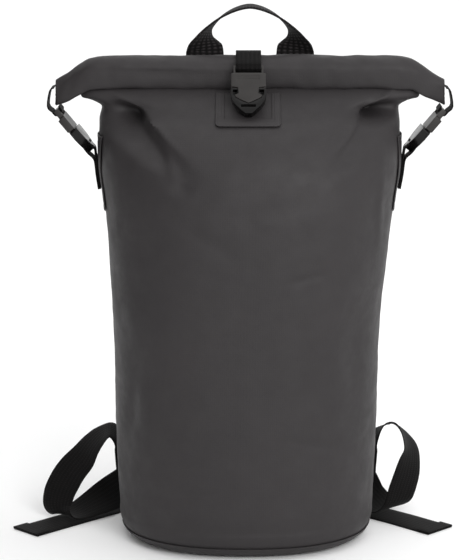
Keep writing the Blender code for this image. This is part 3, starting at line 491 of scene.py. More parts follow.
# A point of the tube's outer face. turn is the angle round from +X, inset shrinks the outline.
def bodyPoint(turn, height, inset=0.0):
    halfWidth, front, back, square, lean = bodySize(height)
    depth = back if math.sin(turn) > 0 else front
    x = halfWidth * power(math.cos(turn), 2 / square)
    y = depth * power(math.sin(turn), 2 / square)
    push = dentPush(x, y, height, halfWidth, depth)
    outward = Vector((power(x / halfWidth, square - 1) / halfWidth, power(y / depth, square - 1) / depth, 0))
    flat = Vector((x, y, 0)) - outward.normalized() * (push + inset)
    weight = max(0.0, min(1.0, (height / neckTop - 0.93) / 0.07))
    return Vector((flat.x + lean, flat.y, height - neckDrop(flat.x + lean) * weight))


def bodyNormal(turn, height):
    step = 0.002
    roundWay = bodyPoint(turn + 0.01, height) - bodyPoint(turn - 0.01, height)
    upWay = bodyPoint(turn, height + step) - bodyPoint(turn, height - step)
    return roundWay.cross(upWay).normalized()


def skinPoint(turn, height, standOff):
    return bodyPoint(turn, height) + bodyNormal(turn, height) * standOff


# The level direction along the tube's face, the way that turn grows.
def skinAcross(turn, height):
    return (bodyPoint(turn + 0.02, height) - bodyPoint(turn - 0.02, height)).normalized()


# The turn where the tube's front or back is at this x.
def turnAtX(x, height, back=False):
    halfWidth, _, _, square, lean = bodySize(height)
    share = max(-0.995, min(0.995, (x - lean) / halfWidth))
    turn = math.acos(power(share, square / 2))
    return turn if back else -turn


# The turn where the tube's left or right side is at this y.
def turnAtY(y, height, side):
    _, front, back, square, _ = bodySize(height)
    share = max(-0.995, min(0.995, y / (back if y > 0 else front)))
    turn = math.asin(power(share, square / 2))
    return turn if side == rightSide else math.pi - turn


# Catmull-Rom points and across directions between given stops of (point, across).
def smoothPath(stops, steps):
    found = []
    last = len(stops) - 1
    for i in range(last):
        near = [stops[max(0, min(last, k))] for k in (i - 1, i, i + 1, i + 2)]
        for step in range(steps):
            t = step / steps
            found.append([
                0.5 * (
                    2 * near[1][part]
                    + (near[2][part] - near[0][part]) * t
                    + (2 * near[0][part] - 5 * near[1][part] + 4 * near[2][part] - near[3][part]) * t * t
                    + (3 * near[1][part] - near[0][part] - 3 * near[2][part] + near[3][part]) * t**3
                )
                for part in (0, 1)
            ])
    found.append(list(stops[-1]))
    return found


# Points of a squarish half turn, from the +normal side to the -normal side. along points from its middle
# to where both strands go.
def wrap(middle, along, normal, out, reach, steps=8):
    points = []
    for i in range(steps + 1):
        turn = math.pi * i / steps
        side, end = power(math.cos(turn), 0.6), math.sin(turn) ** 0.6 if 0 < i < steps else 0.0
        points.append(middle + normal * (out * side) - along * (reach * end))
    return points


# Distance from a bar's middle to the middle of the webbing that goes round it.
def wrapOut(thick):
    return thick / 2 + strap["wrapSlack"] + strap["webThick"] / 2


def wrapBar(middle, along, normal, thick, bar):
    return wrap(middle, along, normal, wrapOut(thick), wrapOut(bar))


# Distance from the tube to the middle of webbing on a patch, with this many layers under it.
def layOff(layers=0):
    lowest = patches["patchThick"] + patches["patchGap"] + strap["laySlack"] + strap["webThick"] / 2
    return lowest + layers * (strap["webThick"] + bagForm["clearance"])


# Lifts a path of (point, across) so that the whole strap is this far above the floor.
def overFloor(path, width, gap):
    for point, across in path:
        low = gap + strap["webThick"] / 2 + abs(across.normalized().z) * width / 2
        point.z = max(point.z, low)
    return path


# Moves a path of (point, across) outward where the strap comes nearer to the tube than gap.
def clearOfBag(path, width, gap):
    for point, across in path:
        push = Vector((0, 0, 0))
        for share in (-1, -0.5, 0, 0.5, 1):
            edge = point + across.normalized() * (share * width / 2)
            halfWidth, front, back, square, lean = bodySize(max(bagForm["baseRound"], edge.z))
            depth = back if edge.y > 0 else front
            x = edge.x - lean
            scale = (abs(x / halfWidth) ** square + abs(edge.y / depth) ** square) ** (1 / square)
            outward = Vector((
                power(x / halfWidth / scale, square - 1) / halfWidth,
                power(edge.y / depth / scale, square - 1) / depth,
                0,
            ))
            need = gap + (1 - scale) / outward.length
            if need > push.length:
                push = outward.normalized() * need
        point += push
    return path


# A point of the spiral, at an angle from the back, that starts under the roll at -90 degrees.
def rollPoint(x, angle, inset=0.0):
    halfTall, halfDeep, middle = rollStation(x)
    factor = 1 - rolledMouth["rollPitch"] * (angle + math.pi / 2) / (2 * math.pi)
    return Vector((
        x,
        (halfDeep * factor - inset) * math.cos(angle) - rolledMouth["rollForward"],
        middle + (halfTall * factor - inset) * math.sin(angle),
    ))


# Half the width of a plate with rounded corners, at this distance from its end.
def roundedHalf(width, corner, fromEdge):
    if fromEdge >= corner:
        return width / 2
    return width / 2 - corner + math.sqrt(max(0.0, corner**2 - (corner - fromEdge) ** 2))


# Length of the female's bar between its slot and its tip.
def endBar():
    return clips["femaleLength"] - tabSlotMiddle() - clips["buckleSlot"] / 2


def tabSlotMiddle():
    return clips["femaleLength"] * 0.76


# Origin, down direction and outward normal of the front buckle, and its bar's middle.
def frontClosure():
    leave = math.pi - clips["frontBuckleTilt"]
    down = Vector((0, -math.sin(clips["frontBuckleTilt"]), -math.cos(clips["frontBuckleTilt"])))
    out = Vector((0, -math.cos(clips["frontBuckleTilt"]), math.sin(clips["frontBuckleTilt"])))
    contact = rollPoint(bagForm["lean"], leave)
    contact.x = strapX
    off = bagForm["clearance"] + strap["webThick"] / 2 + wrapOut(clips["maleThick"])
    bar = contact + out * off + down * clips["frontBuckleLead"]
    return bar + down * (clips["maleLength"] - clips["buckleBar"] / 2), down, out, bar


# Points over the roll from behind to the front, this far off its outer layer.
def overRoll(standOff, first, last, count):
    points = []
    for i in range(count):
        angle = first + (last - first) * i / (count - 1)
        point = rollPoint(bagForm["lean"], angle, -standOff)
        points.append(Vector((strapX, point.y, point.z)))
    return points


def onBack(x, height, standOff):
    return skinPoint(turnAtX(x, height, back=True), height, standOff)


def addPiece(name, mesh, cloth, node):
    piece = linkObject(name, mesh)
    mesh.materials.append(cloth)
    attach(piece, "root")
    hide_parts(node)
    return piece


def thicken(piece, wall, side=-1):
    thickness = piece.modifiers.new("wall", "SOLIDIFY")
    thickness.thickness = wall
    thickness.offset = side
    thickness.use_even_offset = True


def spread(name, columns, rows, place, cloth, node, middle=None, closed=False, capped=False,
           wall=0.0):
    # lays a grid over a surface. place gives a point and its flat position in metres.
    bm = bmesh.new()
    bmesh.ops.create_grid(bm, x_segments=columns, y_segments=rows, size=0.5)
    uvLayer = bm.loops.layers.uv.new("UVMap")
    flat = {}
    for vert in bm.verts:
        vert.co, flat[vert] = place(vert.co.x + 0.5, vert.co.y + 0.5)
    for face in bm.faces:
        for loop in face.loops:
            loop[uvLayer].uv = flat[loop.vert]
    if closed:
        bmesh.ops.remove_doubles(bm, verts=bm.verts, dist=1e-6)
    if capped:
        bmesh.ops.holes_fill(bm, edges=bm.edges, sides=0)
    bm.normal_update()
    if middle:
        facing = sum(f.normal.dot(f.calc_center_median() - middle(f.calc_center_median())) for f in bm.faces)
        if facing < 0:
            bmesh.ops.reverse_faces(bm, faces=bm.faces)
    else:
        bmesh.ops.recalc_face_normals(bm, faces=bm.faces)
    mesh = bpy.data.meshes.new(name)
    bm.to_mesh(mesh)
    bm.free()
    mesh.shade_smooth()
    mesh.set_sharp_from_angle(angle=math.radians(50))
    piece = addPiece(name, mesh, cloth, node)
    if wall:
        thicken(piece, wall)
    return piece


# Section of webbing, as shares of half its width and half its thickness
upperEdge = [(0.99, 0.7)] + [(across, 1.0) for across in (0.96, 0.6, 0.2, -0.2, -0.6, -0.96)] + [(-0.99, 0.7)]
webEdge = [(1.0, 0.0)] + upperEdge + [(-1.0, 0.0)] + [(across, -lift) for across, lift in reversed(upperEdge)]


def ribbon(name, path, width, thick=strap["webThick"], cloth=webbingCloth):
    path = smoothPath([(point, across.normalized()) for point, across in path], 3)
    frames = []
    length = 0.0
    for i, (point, across) in enumerate(path):
        before, after = path[max(0, i - 1)][0], path[min(len(path) - 1, i + 1)][0]
        along = (after - before).normalized()
        side = (across - along * across.dot(along)).normalized()
        length += (point - path[i - 1][0]).length if i else 0.0
        frames.append((point, side, along.cross(side), length))

    def place(u, v):
        point, side, out, at = frames[round(v * (len(frames) - 1))]
        across, lift = webEdge[round(u * len(webEdge)) % len(webEdge)]
        round_ = round(u * len(webEdge)) / len(webEdge) * 2 * width
        return point + side * (across * width / 2) + out * (lift * thick / 2), (round_, at)

    return spread(name + "_cloth", len(webEdge), len(frames) - 1, place, cloth, name,
                  closed=True, capped=True)


# Bag body and base
# Creases and small folds that only the cloth shows, in the same columns as dents
dents += (
    Dent(-0.62, 0.925, 0.105, 0.010, -42, -0.014),
    Dent(-0.52, 0.855, 0.016, 0.050, 22, -0.010),
    Dent(-0.44, 0.805, 0.030, 0.022, 0, 0.010),
    Dent(0.70, 0.930, 0.110, 0.011, 52, -0.014),
    Dent(0.60, 0.860, 0.050, 0.030, 30, 0.010),
    Dent(0.40, 0.615, 0.060, 0.012, 12, 0.006),
    Dent(-0.30, 0.700, 0.110, 0.030, -30, 0.007),
    Dent(0.10, 0.760, 0.160, 0.030, 8, 0.006),
    Dent(0.88, 0.760, 0.012, 0.140, 4, -0.006),
    Dent(-0.86, 0.300, 0.020, 0.120, -6, 0.008),
    Dent(0.55, 0.250, 0.120, 0.020, -14, 0.005),
    Dent(-0.80, 0.922, 0.080, 0.042, -18, 0.042),
    Dent(0.86, 0.944, 0.070, 0.024, 12, 0.034),
    Dent(-0.45, 0.140, 0.120, 0.018, 10, 0.005),
)
tube = {"around": 220, "up": 250, "baseRows": 14, "lowShare": 0.20, "lowTurn": 72, "smoothings": 2,
        "crumple": 0.0011, "crumpleSize": 0.036, "round": 0.86, "bead": 0.0004, "seat": 0.12}


def cloth(point, fade=1.0):
    # small handling folds, always inward so that nothing lying on the bag is touched
    wave = noise.fractal(point / tube["crumpleSize"], 0.7, 2.2, 3)
    inward = Vector((point.x, point.y, 0)).normalized()
    return point - inward * (tube["crumple"] * fade * max(0.0, min(1.0, 0.5 + 0.6 * wave)))


def placeTube(u, v):
    turn = 2 * math.pi * u
    fold, corner = bagForm["baseWall"] + bagForm["clearance"], bagForm["baseRound"]
    if v < tube["lowShare"]:
        low = math.radians(tube["lowTurn"] * (1 - v / tube["lowShare"]))
        # the wall steps in where the base panel laps over it
        under = max(0.0, min(1.0, (bagForm["baseRim"] + 0.0001 - corner * (1 - math.sin(low))) / 0.0008))
        radius = corner - fold * (tube["seat"] + (1 - tube["seat"]) * under)
        point = bodyPoint(turn, corner, corner - radius * math.cos(low))
        point.z = corner - radius * math.sin(low)
    else:
        height = corner + (neckTop - corner) * (v - tube["lowShare"]) / (1 - tube["lowShare"])
        inset = fold * tube["seat"] * max(0.0, 1 - (height - corner) / 0.040)
        point = cloth(bodyPoint(turn, height, inset), min(1.0, (neckTop - height) / 0.02 + 0.2))
    return point, (u * tube["round"], point.z)


def placeBase(u, v):
    turn = 2 * math.pi * u
    corner = bagForm["baseRound"]
    inner = corner - bagForm["baseWall"]
    start = math.asin((corner - bagForm["baseRim"]) / inner)
    low = start + (math.pi / 2 - start) * v
    # a welded bead stands along the rim
    bead = tube["bead"] * math.exp(-((v - 0.06) / 0.05) ** 2)
    point = bodyPoint(turn, corner, inner * (1 - math.cos(low)) - bead)
    point.z = corner - inner * math.sin(low)
    return point, (u * tube["round"], 0.04 * v)


def centreLine(point):
    return Vector((0, 0, point.z))


def overBase(point):
    return Vector((point.x * 0.5, point.y * 0.5, 0.06))


def makeBody():
    body = spread("bag_body_cloth", tube["around"], tube["up"], placeTube, tarpaulinCloth, "bag_body",
                  middle=centreLine, closed=True)
    soften = body.modifiers.new("soften", "SMOOTH")
    soften.factor = 0.5
    soften.iterations = tube["smoothings"]
    thicken(body, bagForm["wall"])
    base = spread("base_panel_cloth", tube["around"], tube["baseRows"], placeBase, tarpaulinCloth,
                  "base_panel", middle=overBase, closed=True, capped=True)
    thicken(base, bagForm["baseWall"], 1)


# Rolled mouth: the outer turn keeps its size and hangs a little in front of the neck
pucker = {"along": 260, "around": 120, "wall": 0.0020, "deep": 0.0017, "endDeep": 0.0024, "lip": 0.0078,
          "start": -0.25, "turns": 2.2, "shrink": 0.24, "foldSize": 0.045, "tightSize": 0.012,
          "tall": 0.925, "deepShare": 0.845, "back": 0.0043, "sink": 0.0012, "crease": 0.0016}


def snugRoll(x, angle, inset):
    halfTall, halfDeep, middle = rollStation(x)
    tall, deep = halfTall * pucker["tall"], halfDeep * pucker["deepShare"]
    inner = max(0.0, angle - 1.28 * math.pi) / (2 * math.pi)
    factor = 1 - pucker["shrink"] * inner - 0.10 * min(1.0, inner / 0.18)
    cosine, sine = math.cos(angle), math.sin(angle)
    lower = max(0.0, -cosine) * max(0.0, -sine) * 2
    exponent = 1 - 0.26 * lower
    dip = math.exp(-((x + 0.040) / 0.012) ** 2)
    wavy = 1 + 0.22 * noise.noise(Vector((x / 0.028, 0.3, 0.0))) - 0.18 * dip
    lip = pucker["lip"] * lower * wavy * (tall / 0.0145) * (1.0 if inner < 0.3 else 0.2)
    return Vector((
        x,
        (deep * factor - inset) * power(cosine, exponent) - pucker["back"] * halfDeep / 0.0227,
        middle - pucker["sink"] + (tall * factor - inset) * power(sine, exponent) - lip,
    ))


def placeRoll(u, v):
    out = (u * 2 - 1)
    x = bagForm["lean"] + out * rolledMouth["rollWidth"] / 2
    angle = pucker["start"] + 2 * math.pi * pucker["turns"] * v
    cosine, sine = math.cos(angle), math.sin(angle)
    soft = 0.5 + 0.7 * noise.fractal(Vector((x / pucker["foldSize"], cosine * 0.6, sine * 0.6)), 0.8, 2.0, 3)
    tight = 0.5 + 0.6 * noise.noise(Vector((x / pucker["tightSize"] - sine * 0.8, cosine * 0.7, sine * 0.7)))
    ends = max(0.0, (abs(out) - 0.55) / 0.45)
    # a crease runs along the front, from the left end to the strap
    crease = math.exp(-((angle - math.pi * (1.06 + 0.10 * out)) / 0.16) ** 2)
    crease *= max(0.0, 1 - abs(out + 0.45) / 0.6)
    push = pucker["deep"] * soft + pucker["endDeep"] * ends * tight + pucker["crease"] * crease
    return snugRoll(x, angle, max(0.0, min(0.0036, push))), (x, 0.11 * pucker["turns"] * v)


def makeRoll():
    def axis(point):
        return Vector((point.x, -rolledMouth["rollForward"], rollStation(point.x)[2]))

    return spread("roll_top_cloth", pucker["along"], pucker["around"], placeRoll, tarpaulinCloth, "roll_top",
                  middle=axis, wall=pucker["wall"])


# Patches welded on the tube
def makePatch(name, columns, rows, turnAndHeight, raise_=None):
    def place(u, v):
        turn, height = turnAndHeight(u, v)
        stand = patches["patchGap"] + patches["patchThick"]
        edge = min(u, 1 - u, v, 1 - v)
        if raise_:
            stand += raise_(u, v)
        else:
            # a pressed weld line runs just inside the edge
            stand -= 0.00035 * math.exp(-((edge - 0.07) / 0.02) ** 2)
        return skinPoint(turn, height, stand), (u * 0.06, v * 0.06)

    return spread(name + "_cloth", columns, rows, place, tarpaulinCloth, name,
                  middle=centreLine, wall=patches["patchThick"] * 0.9)


def makeFrontPatch():
    wide, tall = patches["frontPatchWidth"], patches["frontPatchHeight"]
    border = patches["frontPatchBorder"]
    steep = patches["frontPatchSteep"]

    def turnAndHeight(u, v):
        height = patches["frontPatchTop"] - tall * (1 - v)
        half = roundedHalf(wide, patches["frontPatchCorner"], tall * v / steep)
        return turnAtX(bagForm["lean"] / 2 + (u * 2 - 1) * half, height), height

    def raised(u, v):
        fromEdge = min(wide * min(u, 1 - u), tall * v / steep)
        step = max(0.0, min(1.0, (border - fromEdge) / 0.0012 + 0.5))
        weld = sum(math.exp(-((fromEdge - line) / 0.0006) ** 2) for line in (border - 0.0016, 0.0016))
        return patches["patchFrame"] * step - 0.0003 * weld

    return makePatch("front_patch", 96, 56, turnAndHeight, raised)


def makeSidePatches(side):
    def sidePlace(u, v):
        height = patches["sidePatchTop"] - patches["sidePatchHeight"] * (1 - v)
        return turnAtY(patches["sidePatchWidth"] * (u - 0.5), height, side), height

    def anchorPlace(u, v):
        height = patches["anchorPatchLow"] + patches["anchorPatchHeight"] * v
        y = patches["anchorDepth"] + patches["anchorPatchWidth"] * (u - 0.5)
        return turnAtY(y, height, side), height

    makePatch("side_patch_" + sideWords[side], 36, 40, sidePlace)
    makePatch("anchor_patch_" + sideWords[side], 32, 32, anchorPlace)


def makeYoke():
    def place(u, v):
        height = patches["yokeTop"] - patches["yokeHeight"] * (1 - v)
        return turnAtX(bagForm["lean"] + patches["yokeWidth"] * (0.5 - u), height, back=True), height

    makePatch("back_yoke", 90, 40, place)


# Side-release clips, in millimetres. The socket hangs under the plug, x is the width, the face is -Y.
moulding = {"edge": 0.00055, "steps": 3}
clip = {
    "bodyHalf": [(14.6, 16.5), (14.6, 8.2), (17.0, 7.4), (17.0, -8.2), (14.6, -9.2), (10.0, -9.2)],
    "plateHalf": [(16.2, 6.8), (16.6, 6.2), (16.6, -8.0), (10.2, -8.8), (9.6, -15.4), (13.2, -17.4),
                  (12.4, -19.6), (5.5, -23.4), (0.0, -26.0)],
    "socketHalf": [(16.6, -9.7), (17.2, -10.6), (17.2, -16.0), (16.0, -22.4), (12.6, -27.6), (8.0, -32.4),
                   (3.0, -37.0)],
    "face": -4.9, "plateBack": -2.4, "body": 2.8, "socketFace": -4.1, "socketBack": 4.9,
    "barWindow": ((-12.8, 12.8), (-8, 8), (8.4, 13.2)),
    "grooves": (3.6, 1.6, -0.4), "grooveTall": 0.9, "grooveWide": (-11, 11), "grooveDeep": (-6, -4.6),
    "latchWide": (10.6, 15.2), "latchDeep": (-8, 1.5), "latchTall": (-17.0, -11.0),
    "notchWide": (17.0, 20.0), "notchDeep": (-2.2, 2.2), "notchTall": (-18.0, -11.5),
    "tabSlot": ((-7.2, 7.2), (-8, 8), (-30.2, -27.4)),
    "fit": 0.25, "seatLow": -8, "seatHigh": -2.1,
}


def outlineBlock(half, low, high):
    # half an outline of (x, z) in millimetres, mirrored and extruded from y = low to y = high
    bm = bmesh.new()
    outline = half + [(-x, z) for x, z in reversed(half) if x > 0]
    face = bm.faces.new([bm.verts.new((x / 1000, low / 1000, z / 1000)) for x, z in outline])
    pushed = bmesh.ops.extrude_face_region(bm, geom=[face])
    moved = [v for v in pushed["geom"] if isinstance(v, bmesh.types.BMVert)]
    bmesh.ops.translate(bm, verts=moved, vec=(0, (high - low) / 1000, 0))
    bmesh.ops.recalc_face_normals(bm, faces=bm.faces)
    return bm


def addBlock(bm, x, y, z):
    # a box from (low, high) pairs in millimetres
    made = bmesh.ops.create_cube(bm, size=1.0)["verts"]
    bmesh.ops.scale(bm, verts=made, vec=[(b - a) / 1000 for a, b in (x, y, z)])
    bmesh.ops.translate(bm, verts=made, vec=[(a + b) / 2000 for a, b in (x, y, z)])


def toObject(bm, name):
    mesh = bpy.data.meshes.new(name)
    bm.to_mesh(mesh)
    bm.free()
    return linkObject(name, mesh)


def cutFrom(obj, cutter, operation="DIFFERENCE"):
    step = obj.modifiers.new(cutter.name, "BOOLEAN")
    step.operation = operation
    step.object = cutter
    step.solver = "EXACT"
    graph = bpy.context.evaluated_depsgraph_get()
    mesh = bpy.data.meshes.new_from_object(obj.evaluated_get(graph))
    obj.modifiers.clear()
    obj.data = mesh
    bpy.data.objects.remove(cutter)


def finishClip(obj, node, place, plastic):
    # rounds the moulding's edges and sets it in its place
    bm = bmesh.new()
    bm.from_mesh(obj.data)
    bpy.data.objects.remove(obj)
    bmesh.ops.remove_doubles(bm, verts=bm.verts, dist=1e-6)
    bmesh.ops.dissolve_limit(bm, angle_limit=math.radians(1), verts=bm.verts, edges=bm.edges)
    sharp = [e for e in bm.edges if len(e.link_faces) == 2 and e.calc_face_angle(0) > math.radians(25)]
    bmesh.ops.bevel(bm, geom=sharp, offset=moulding["edge"], segments=moulding["steps"], profile=0.5,
                    affect="EDGES", material=-1, clamp_overlap=True)
    bmesh.ops.transform(bm, matrix=place, verts=bm.verts)
    bmesh.ops.triangulate(bm, faces=[f for f in bm.faces if len(f.verts) > 4])
    bmesh.ops.recalc_face_normals(bm, faces=bm.faces)
    mesh = bpy.data.meshes.new(node + "_moulded")
    bm.to_mesh(mesh)
    bm.free()
    mesh.shade_smooth()
    mesh.set_sharp_from_angle(angle=math.radians(40))
    return addPiece(node + "_moulded", mesh, plastic, node)


def frameAt(origin, up, face):
    up = up.normalized()
    width = up.cross(face).normalized()
    back = up.cross(width).normalized()
    return Matrix.Translation(origin) @ Matrix((width, back, up)).transposed().to_4x4()


def makeClip(words, place):
    plug = toObject(outlineBlock(clip["bodyHalf"], -clip["body"], clip["body"]), "plug")
    plate = outlineBlock(clip["plateHalf"], clip["face"], clip["plateBack"])
    cutFrom(plug, toObject(plate, "plate"), "UNION")
    holes = bmesh.new()
    addBlock(holes, *clip["barWindow"])
    # three shallow grip grooves under the webbing's bar
    for z in clip["grooves"]:
        addBlock(holes, clip["grooveWide"], clip["grooveDeep"], (z, z + clip["grooveTall"]))
    cutFrom(plug, toObject(holes, "plugHoles"))
    socket = toObject(outlineBlock(clip["socketHalf"], clip["socketFace"], clip["socketBack"]), "socket")
    holes = bmesh.new()
    for end in (-1, 1):
        addBlock(holes, sorted(end * x for x in clip["latchWide"]), clip["latchDeep"], clip["latchTall"])
        addBlock(holes, sorted(end * x for x in clip["notchWide"]), clip["notchDeep"], clip["notchTall"])
    addBlock(holes, *clip["tabSlot"])
    cutFrom(socket, toObject(holes, "socketHoles"))
    fit = clip["fit"]
    seatHalf = [(x + (fit if x else 0), z - fit) for x, z in clip["plateHalf"]]
    seat = outlineBlock(seatHalf, clip["seatLow"], clip["seatHigh"])
    cutFrom(socket, toObject(seat, "seat"))
    # the plug takes the acetal with the painted highlight, the socket the one with the painted shade
    finishClip(plug, words[1], place, plugPlasticPaintedHighlight)
    finishClip(socket, words[0], place, socketPlasticPaintedShade)


# Ladder locks: the CAD's own form with its edges rounded
def makeMoulded(node):
    bm = bmesh.new()
    bm.from_mesh(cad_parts[node].data)
    # the ladder lock takes the darker acetal, with its painted shade
    return finishClip(toObject(bm, "lockCopy"), node, Matrix(), socketPlasticPaintedShade)


# Straps
def levelRibbon(name, points, across, width):
    return ribbon(name, [(point, across) for point in points], width)


def frontRibbon(name, points, width):
    # a strap that lies flat in the line of the front buckle
    for point in points:
        point.x = strapX
    return levelRibbon(name, points, Vector((1, 0, 0)), width)


def makeFrontStrap():
    _, down, out, bar = frontClosure()
    layer = bagForm["clearance"] + strap["webThick"] / 2
    leave = math.pi - clips["frontBuckleTilt"]
    points = [onBack(strapX, patches["yokeTop"] - down, layOff()) for down in (0.036, 0.026, 0.017, 0.010)]
    points.append(onBack(strapX, patches["yokeTop"], layOff() + 0.0005))
    points += overRoll(layer, math.radians(-12), leave, 10)
    points += wrapBar(bar, down * -1, out * -1, clips["maleThick"], clips["buckleBar"])
    points.append(bar + out * wrapOut(clips["maleThick"]) - down * 0.0035)
    layer += strap["webThick"] + 3 * bagForm["clearance"]
    points += overRoll(layer, leave - 0.45, math.radians(52), 5)
    return frontRibbon("front_strap", points, strap["webNarrow"])


def makeFrontTab():
    mouth, down, out, _ = frontClosure()
    slot = mouth + down * tabSlotMiddle()
    foot = slot.z - 0.001
    points = [skinPoint(turnAtX(strapX, height), height, layOff())
              for height in (foot + 0.009, foot + 0.005, foot)]
    deep = clips["femaleThick"] / 2
    points += [slot - out * (deep + 0.003), slot - out * deep, slot + out * 0.002]
    return frontRibbon("front_tab", points, strap["webTab"])


# Mouth, up direction and outward normal of a side buckle, with its two bars' middles.
def sideClosure(side):
    end = bagForm["lean"] + side * rolledMouth["rollWidth"] / 2
    halfTall, _, middle = rollStation(end)
    top = Vector((end - side * 0.002, closureY, middle - halfTall - 0.0078))
    low = skinPoint(turnAtY(closureY, clips["sideBuckleHeight"], side), clips["sideBuckleHeight"], 0.0095)
    low.y = closureY
    up = (top - low).normalized()
    out = Vector((up.z * side, 0, -up.x * side))
    mouth = top - up * (clips["maleLength"] - clips["buckleBar"] / 2)
    return mouth, up, out, top, mouth - up * (clips["femaleLength"] - endBar() / 2)


def makeEndLoop(side):
    _, up, out, bar, _ = sideClosure(side)
    end = bagForm["lean"] + side * rolledMouth["rollWidth"] / 2
    _, _, middle = rollStation(end)
    radius = wrapOut(clips["maleThick"])
    start = Vector((end + side * 0.0012, closureY, middle + 0.002))
    bulge = bar + out * radius + up * 0.010
    points = [start, start + Vector((side * 0.004, 0, -0.003)), bulge]
    points += [bar + out * radius + up * 0.003]
    points += wrapBar(bar, up, out, clips["maleThick"], clips["buckleBar"])
    points += [bar - out * radius + up * 0.0032]
    return levelRibbon("end_loop_" + sideWords[side], points, Vector((0, 1, 0)), strap["webNarrow"])


def makeSideTab(side):
    _, up, out, _, bar = sideClosure(side)
    first, second = layOff(), layOff(1)
    join = bar.z - 0.012
    foot = join - 0.029

    def onSide(height, standOff):
        point = skinPoint(turnAtY(closureY, height, side), height, standOff)
        point.y = closureY
        return point

    points = [onSide(foot, first), onSide((foot + join) / 2, first), onSide(join, first)]
    points += [onSide(join + 0.005, first + 0.001)]
    below = bar - up * 0.0045
    points.append(below - out * wrapOut(clips["endBarThick"]))
    points += reversed(wrapBar(bar, up * -1, out, clips["endBarThick"], endBar()))
    points.append(below + out * wrapOut(clips["endBarThick"]))
    points += [onSide(join + 0.002, second + 0.0018), onSide(join - 0.003, second + 0.0002)]
    points += [onSide((foot + join) / 2, second), onSide(foot, second)]
    return levelRibbon("side_tab_" + sideWords[side], points, Vector((0, 1, 0)), strap["webTab"])


# Grab handle. out is a share of half carry["handleSpan"], rise of carry["handleRise"], twist in degrees.
Arch = namedtuple("Arch", "out rise twist")
arch = (
    Arch(1.00, -0.30, 0),
    Arch(1.00, 0.00, 12),
    Arch(1.01, 0.15, 34),
    Arch(1.00, 0.30, 62),
    Arch(0.95, 0.44, 76),
    Arch(0.86, 0.56, 82),
    Arch(0.665, 0.735, 86),
    Arch(0.36, 0.91, 89),
    Arch(0.00, 1.00, 90),
)


def makeHandle():
    half = carry["handleSpan"] / 2
    footOff = layOff() + carry["handleThick"] / 2
    places = []
    for side in (leftSide, rightSide):
        x = bagForm["lean"] + side * half
        arm = [(onBack(x, patches["yokeTop"] - down, footOff), None) for down in carry["handleFoot"]]
        for row in arch:
            height = bagForm["rollTop"] + carry["handleRise"] * row.rise
            arm.append((Vector((bagForm["lean"] + side * half * row.out, handleY, height)), row.twist))
        places += arm if side == leftSide else arm[-2::-1]
    stops = []
    for i, (point, twist) in enumerate(places):
        if twist is None:
            turn = turnAtX(point.x, point.z, back=True)
            side = leftSide if point.x < bagForm["lean"] else rightSide
            stops.append((point, skinAcross(turn, point.z) * side))
            continue
        along = places[min(len(places) - 1, i + 1)][0] - places[max(0, i - 1)][0]
        along.normalize()
        flat = Vector((along.z, 0, -along.x))
        turned = math.radians(twist)
        stops.append((point, flat * math.cos(turned) + Vector((0, 1, 0)) * math.sin(turned)))
    path = smoothPath(stops, 2)
    gap = carry["handleThick"] / 2 + 2 * patches["patchGap"]
    for i, (point, across) in enumerate(path):
        if point.z < neckTop:
            path[i : i + 1] = clearOfBag([(point, across)], strap["webWide"], gap)
    return ribbon("handle", path, strap["webWide"], carry["handleThick"], handleCloth)


# Shoulder straps. height is a share of neckTop, out of bagForm["shoulderWidth"] / 2, bow and wide of
# carry["strapWidth"].
Pad = namedtuple("Pad", "height out bow wide")
pads = (
    Pad(0.150, 0.545, 0.180, 0.72),
    Pad(0.185, 0.460, 0.160, 0.80),
    Pad(0.225, 0.405, 0.160, 0.86),
    Pad(0.300, 0.370, 0.180, 0.92),
    Pad(0.400, 0.360, 0.220, 1.00),
    Pad(0.560, 0.350, 0.240, 1.00),
    Pad(0.720, 0.345, 0.140, 1.00),
    Pad(0.815, 0.345, 0.030, 1.00),
    Pad(0.862, 0.345, 0.000, 0.98),
)


# Middle and width of a shoulder strap where its height is this share of neckTop.
def padMiddle(side, share):
    row = readRow(pads, share)
    height, width = share * neckTop, row.wide * carry["strapWidth"]
    x = bagForm["lean"] / 2 + side * row.out * bagForm["shoulderWidth"] / 2
    under = max(
        onBack(x + width * reach, height + width * lift, 0.0).y
        for reach in (-0.5, -0.25, 0, 0.25, 0.5)
        for lift in (-0.1, 0, 0.1)
    )
    off = carry["strapThick"] / 2 + patches["patchThick"] + patches["patchGap"] + strap["laySlack"]
    return Vector((x, under + off + row.bow * carry["strapWidth"], height)), width


# Middle, width, direction down and face normal of a shoulder strap.
def padFrame(side, share):
    middle, width = padMiddle(side, share)
    above, _ = padMiddle(side, min(pads[-1].height, share + 0.012))
    below, _ = padMiddle(side, max(pads[0].height, share - 0.012))
    down = (below - above).normalized()
    face = Vector((0, 1, 0))
    return middle, width, down, (face - down * face.dot(down)).normalized()


# Middle, down direction, face normal and across direction of a ladder lock.
def lockFrame(side):
    low, _, down, face = padFrame(side, pads[0].height)
    middle = low + down * (carry["lockLength"] / 2 + 0.006)
    return middle, down, face, face.cross(down).normalized() * -side


# The webbing that holds the ladder lock's upper bar to the shoulder strap.
def makeStrapTab(side):
    middle, down, face, across = lockFrame(side)
    bar = middle - down * (carry["lockLength"] - carry["lockBar"]) / 2
    over = carry["strapThick"] / 2 + bagForm["clearance"] + strap["laySlack"] + strap["webThick"] / 2
    path = []
    for up in (0.030, 0.022, 0.014, 0.007, 0.0):
        low, _, along, out = padFrame(side, pads[0].height + up / neckTop)
        path.append((low + out * over, along.cross(out)))
    path = [(point, way if way.dot(across) > 0 else way * -1) for point, way in path]
    path += [(point, across) for point in wrapBar(bar, down * -1, face, carry["lockThick"], carry["lockBar"])]
    return ribbon("strap_tab_" + sideWords[side], path, strap["webWide"] * 0.94)


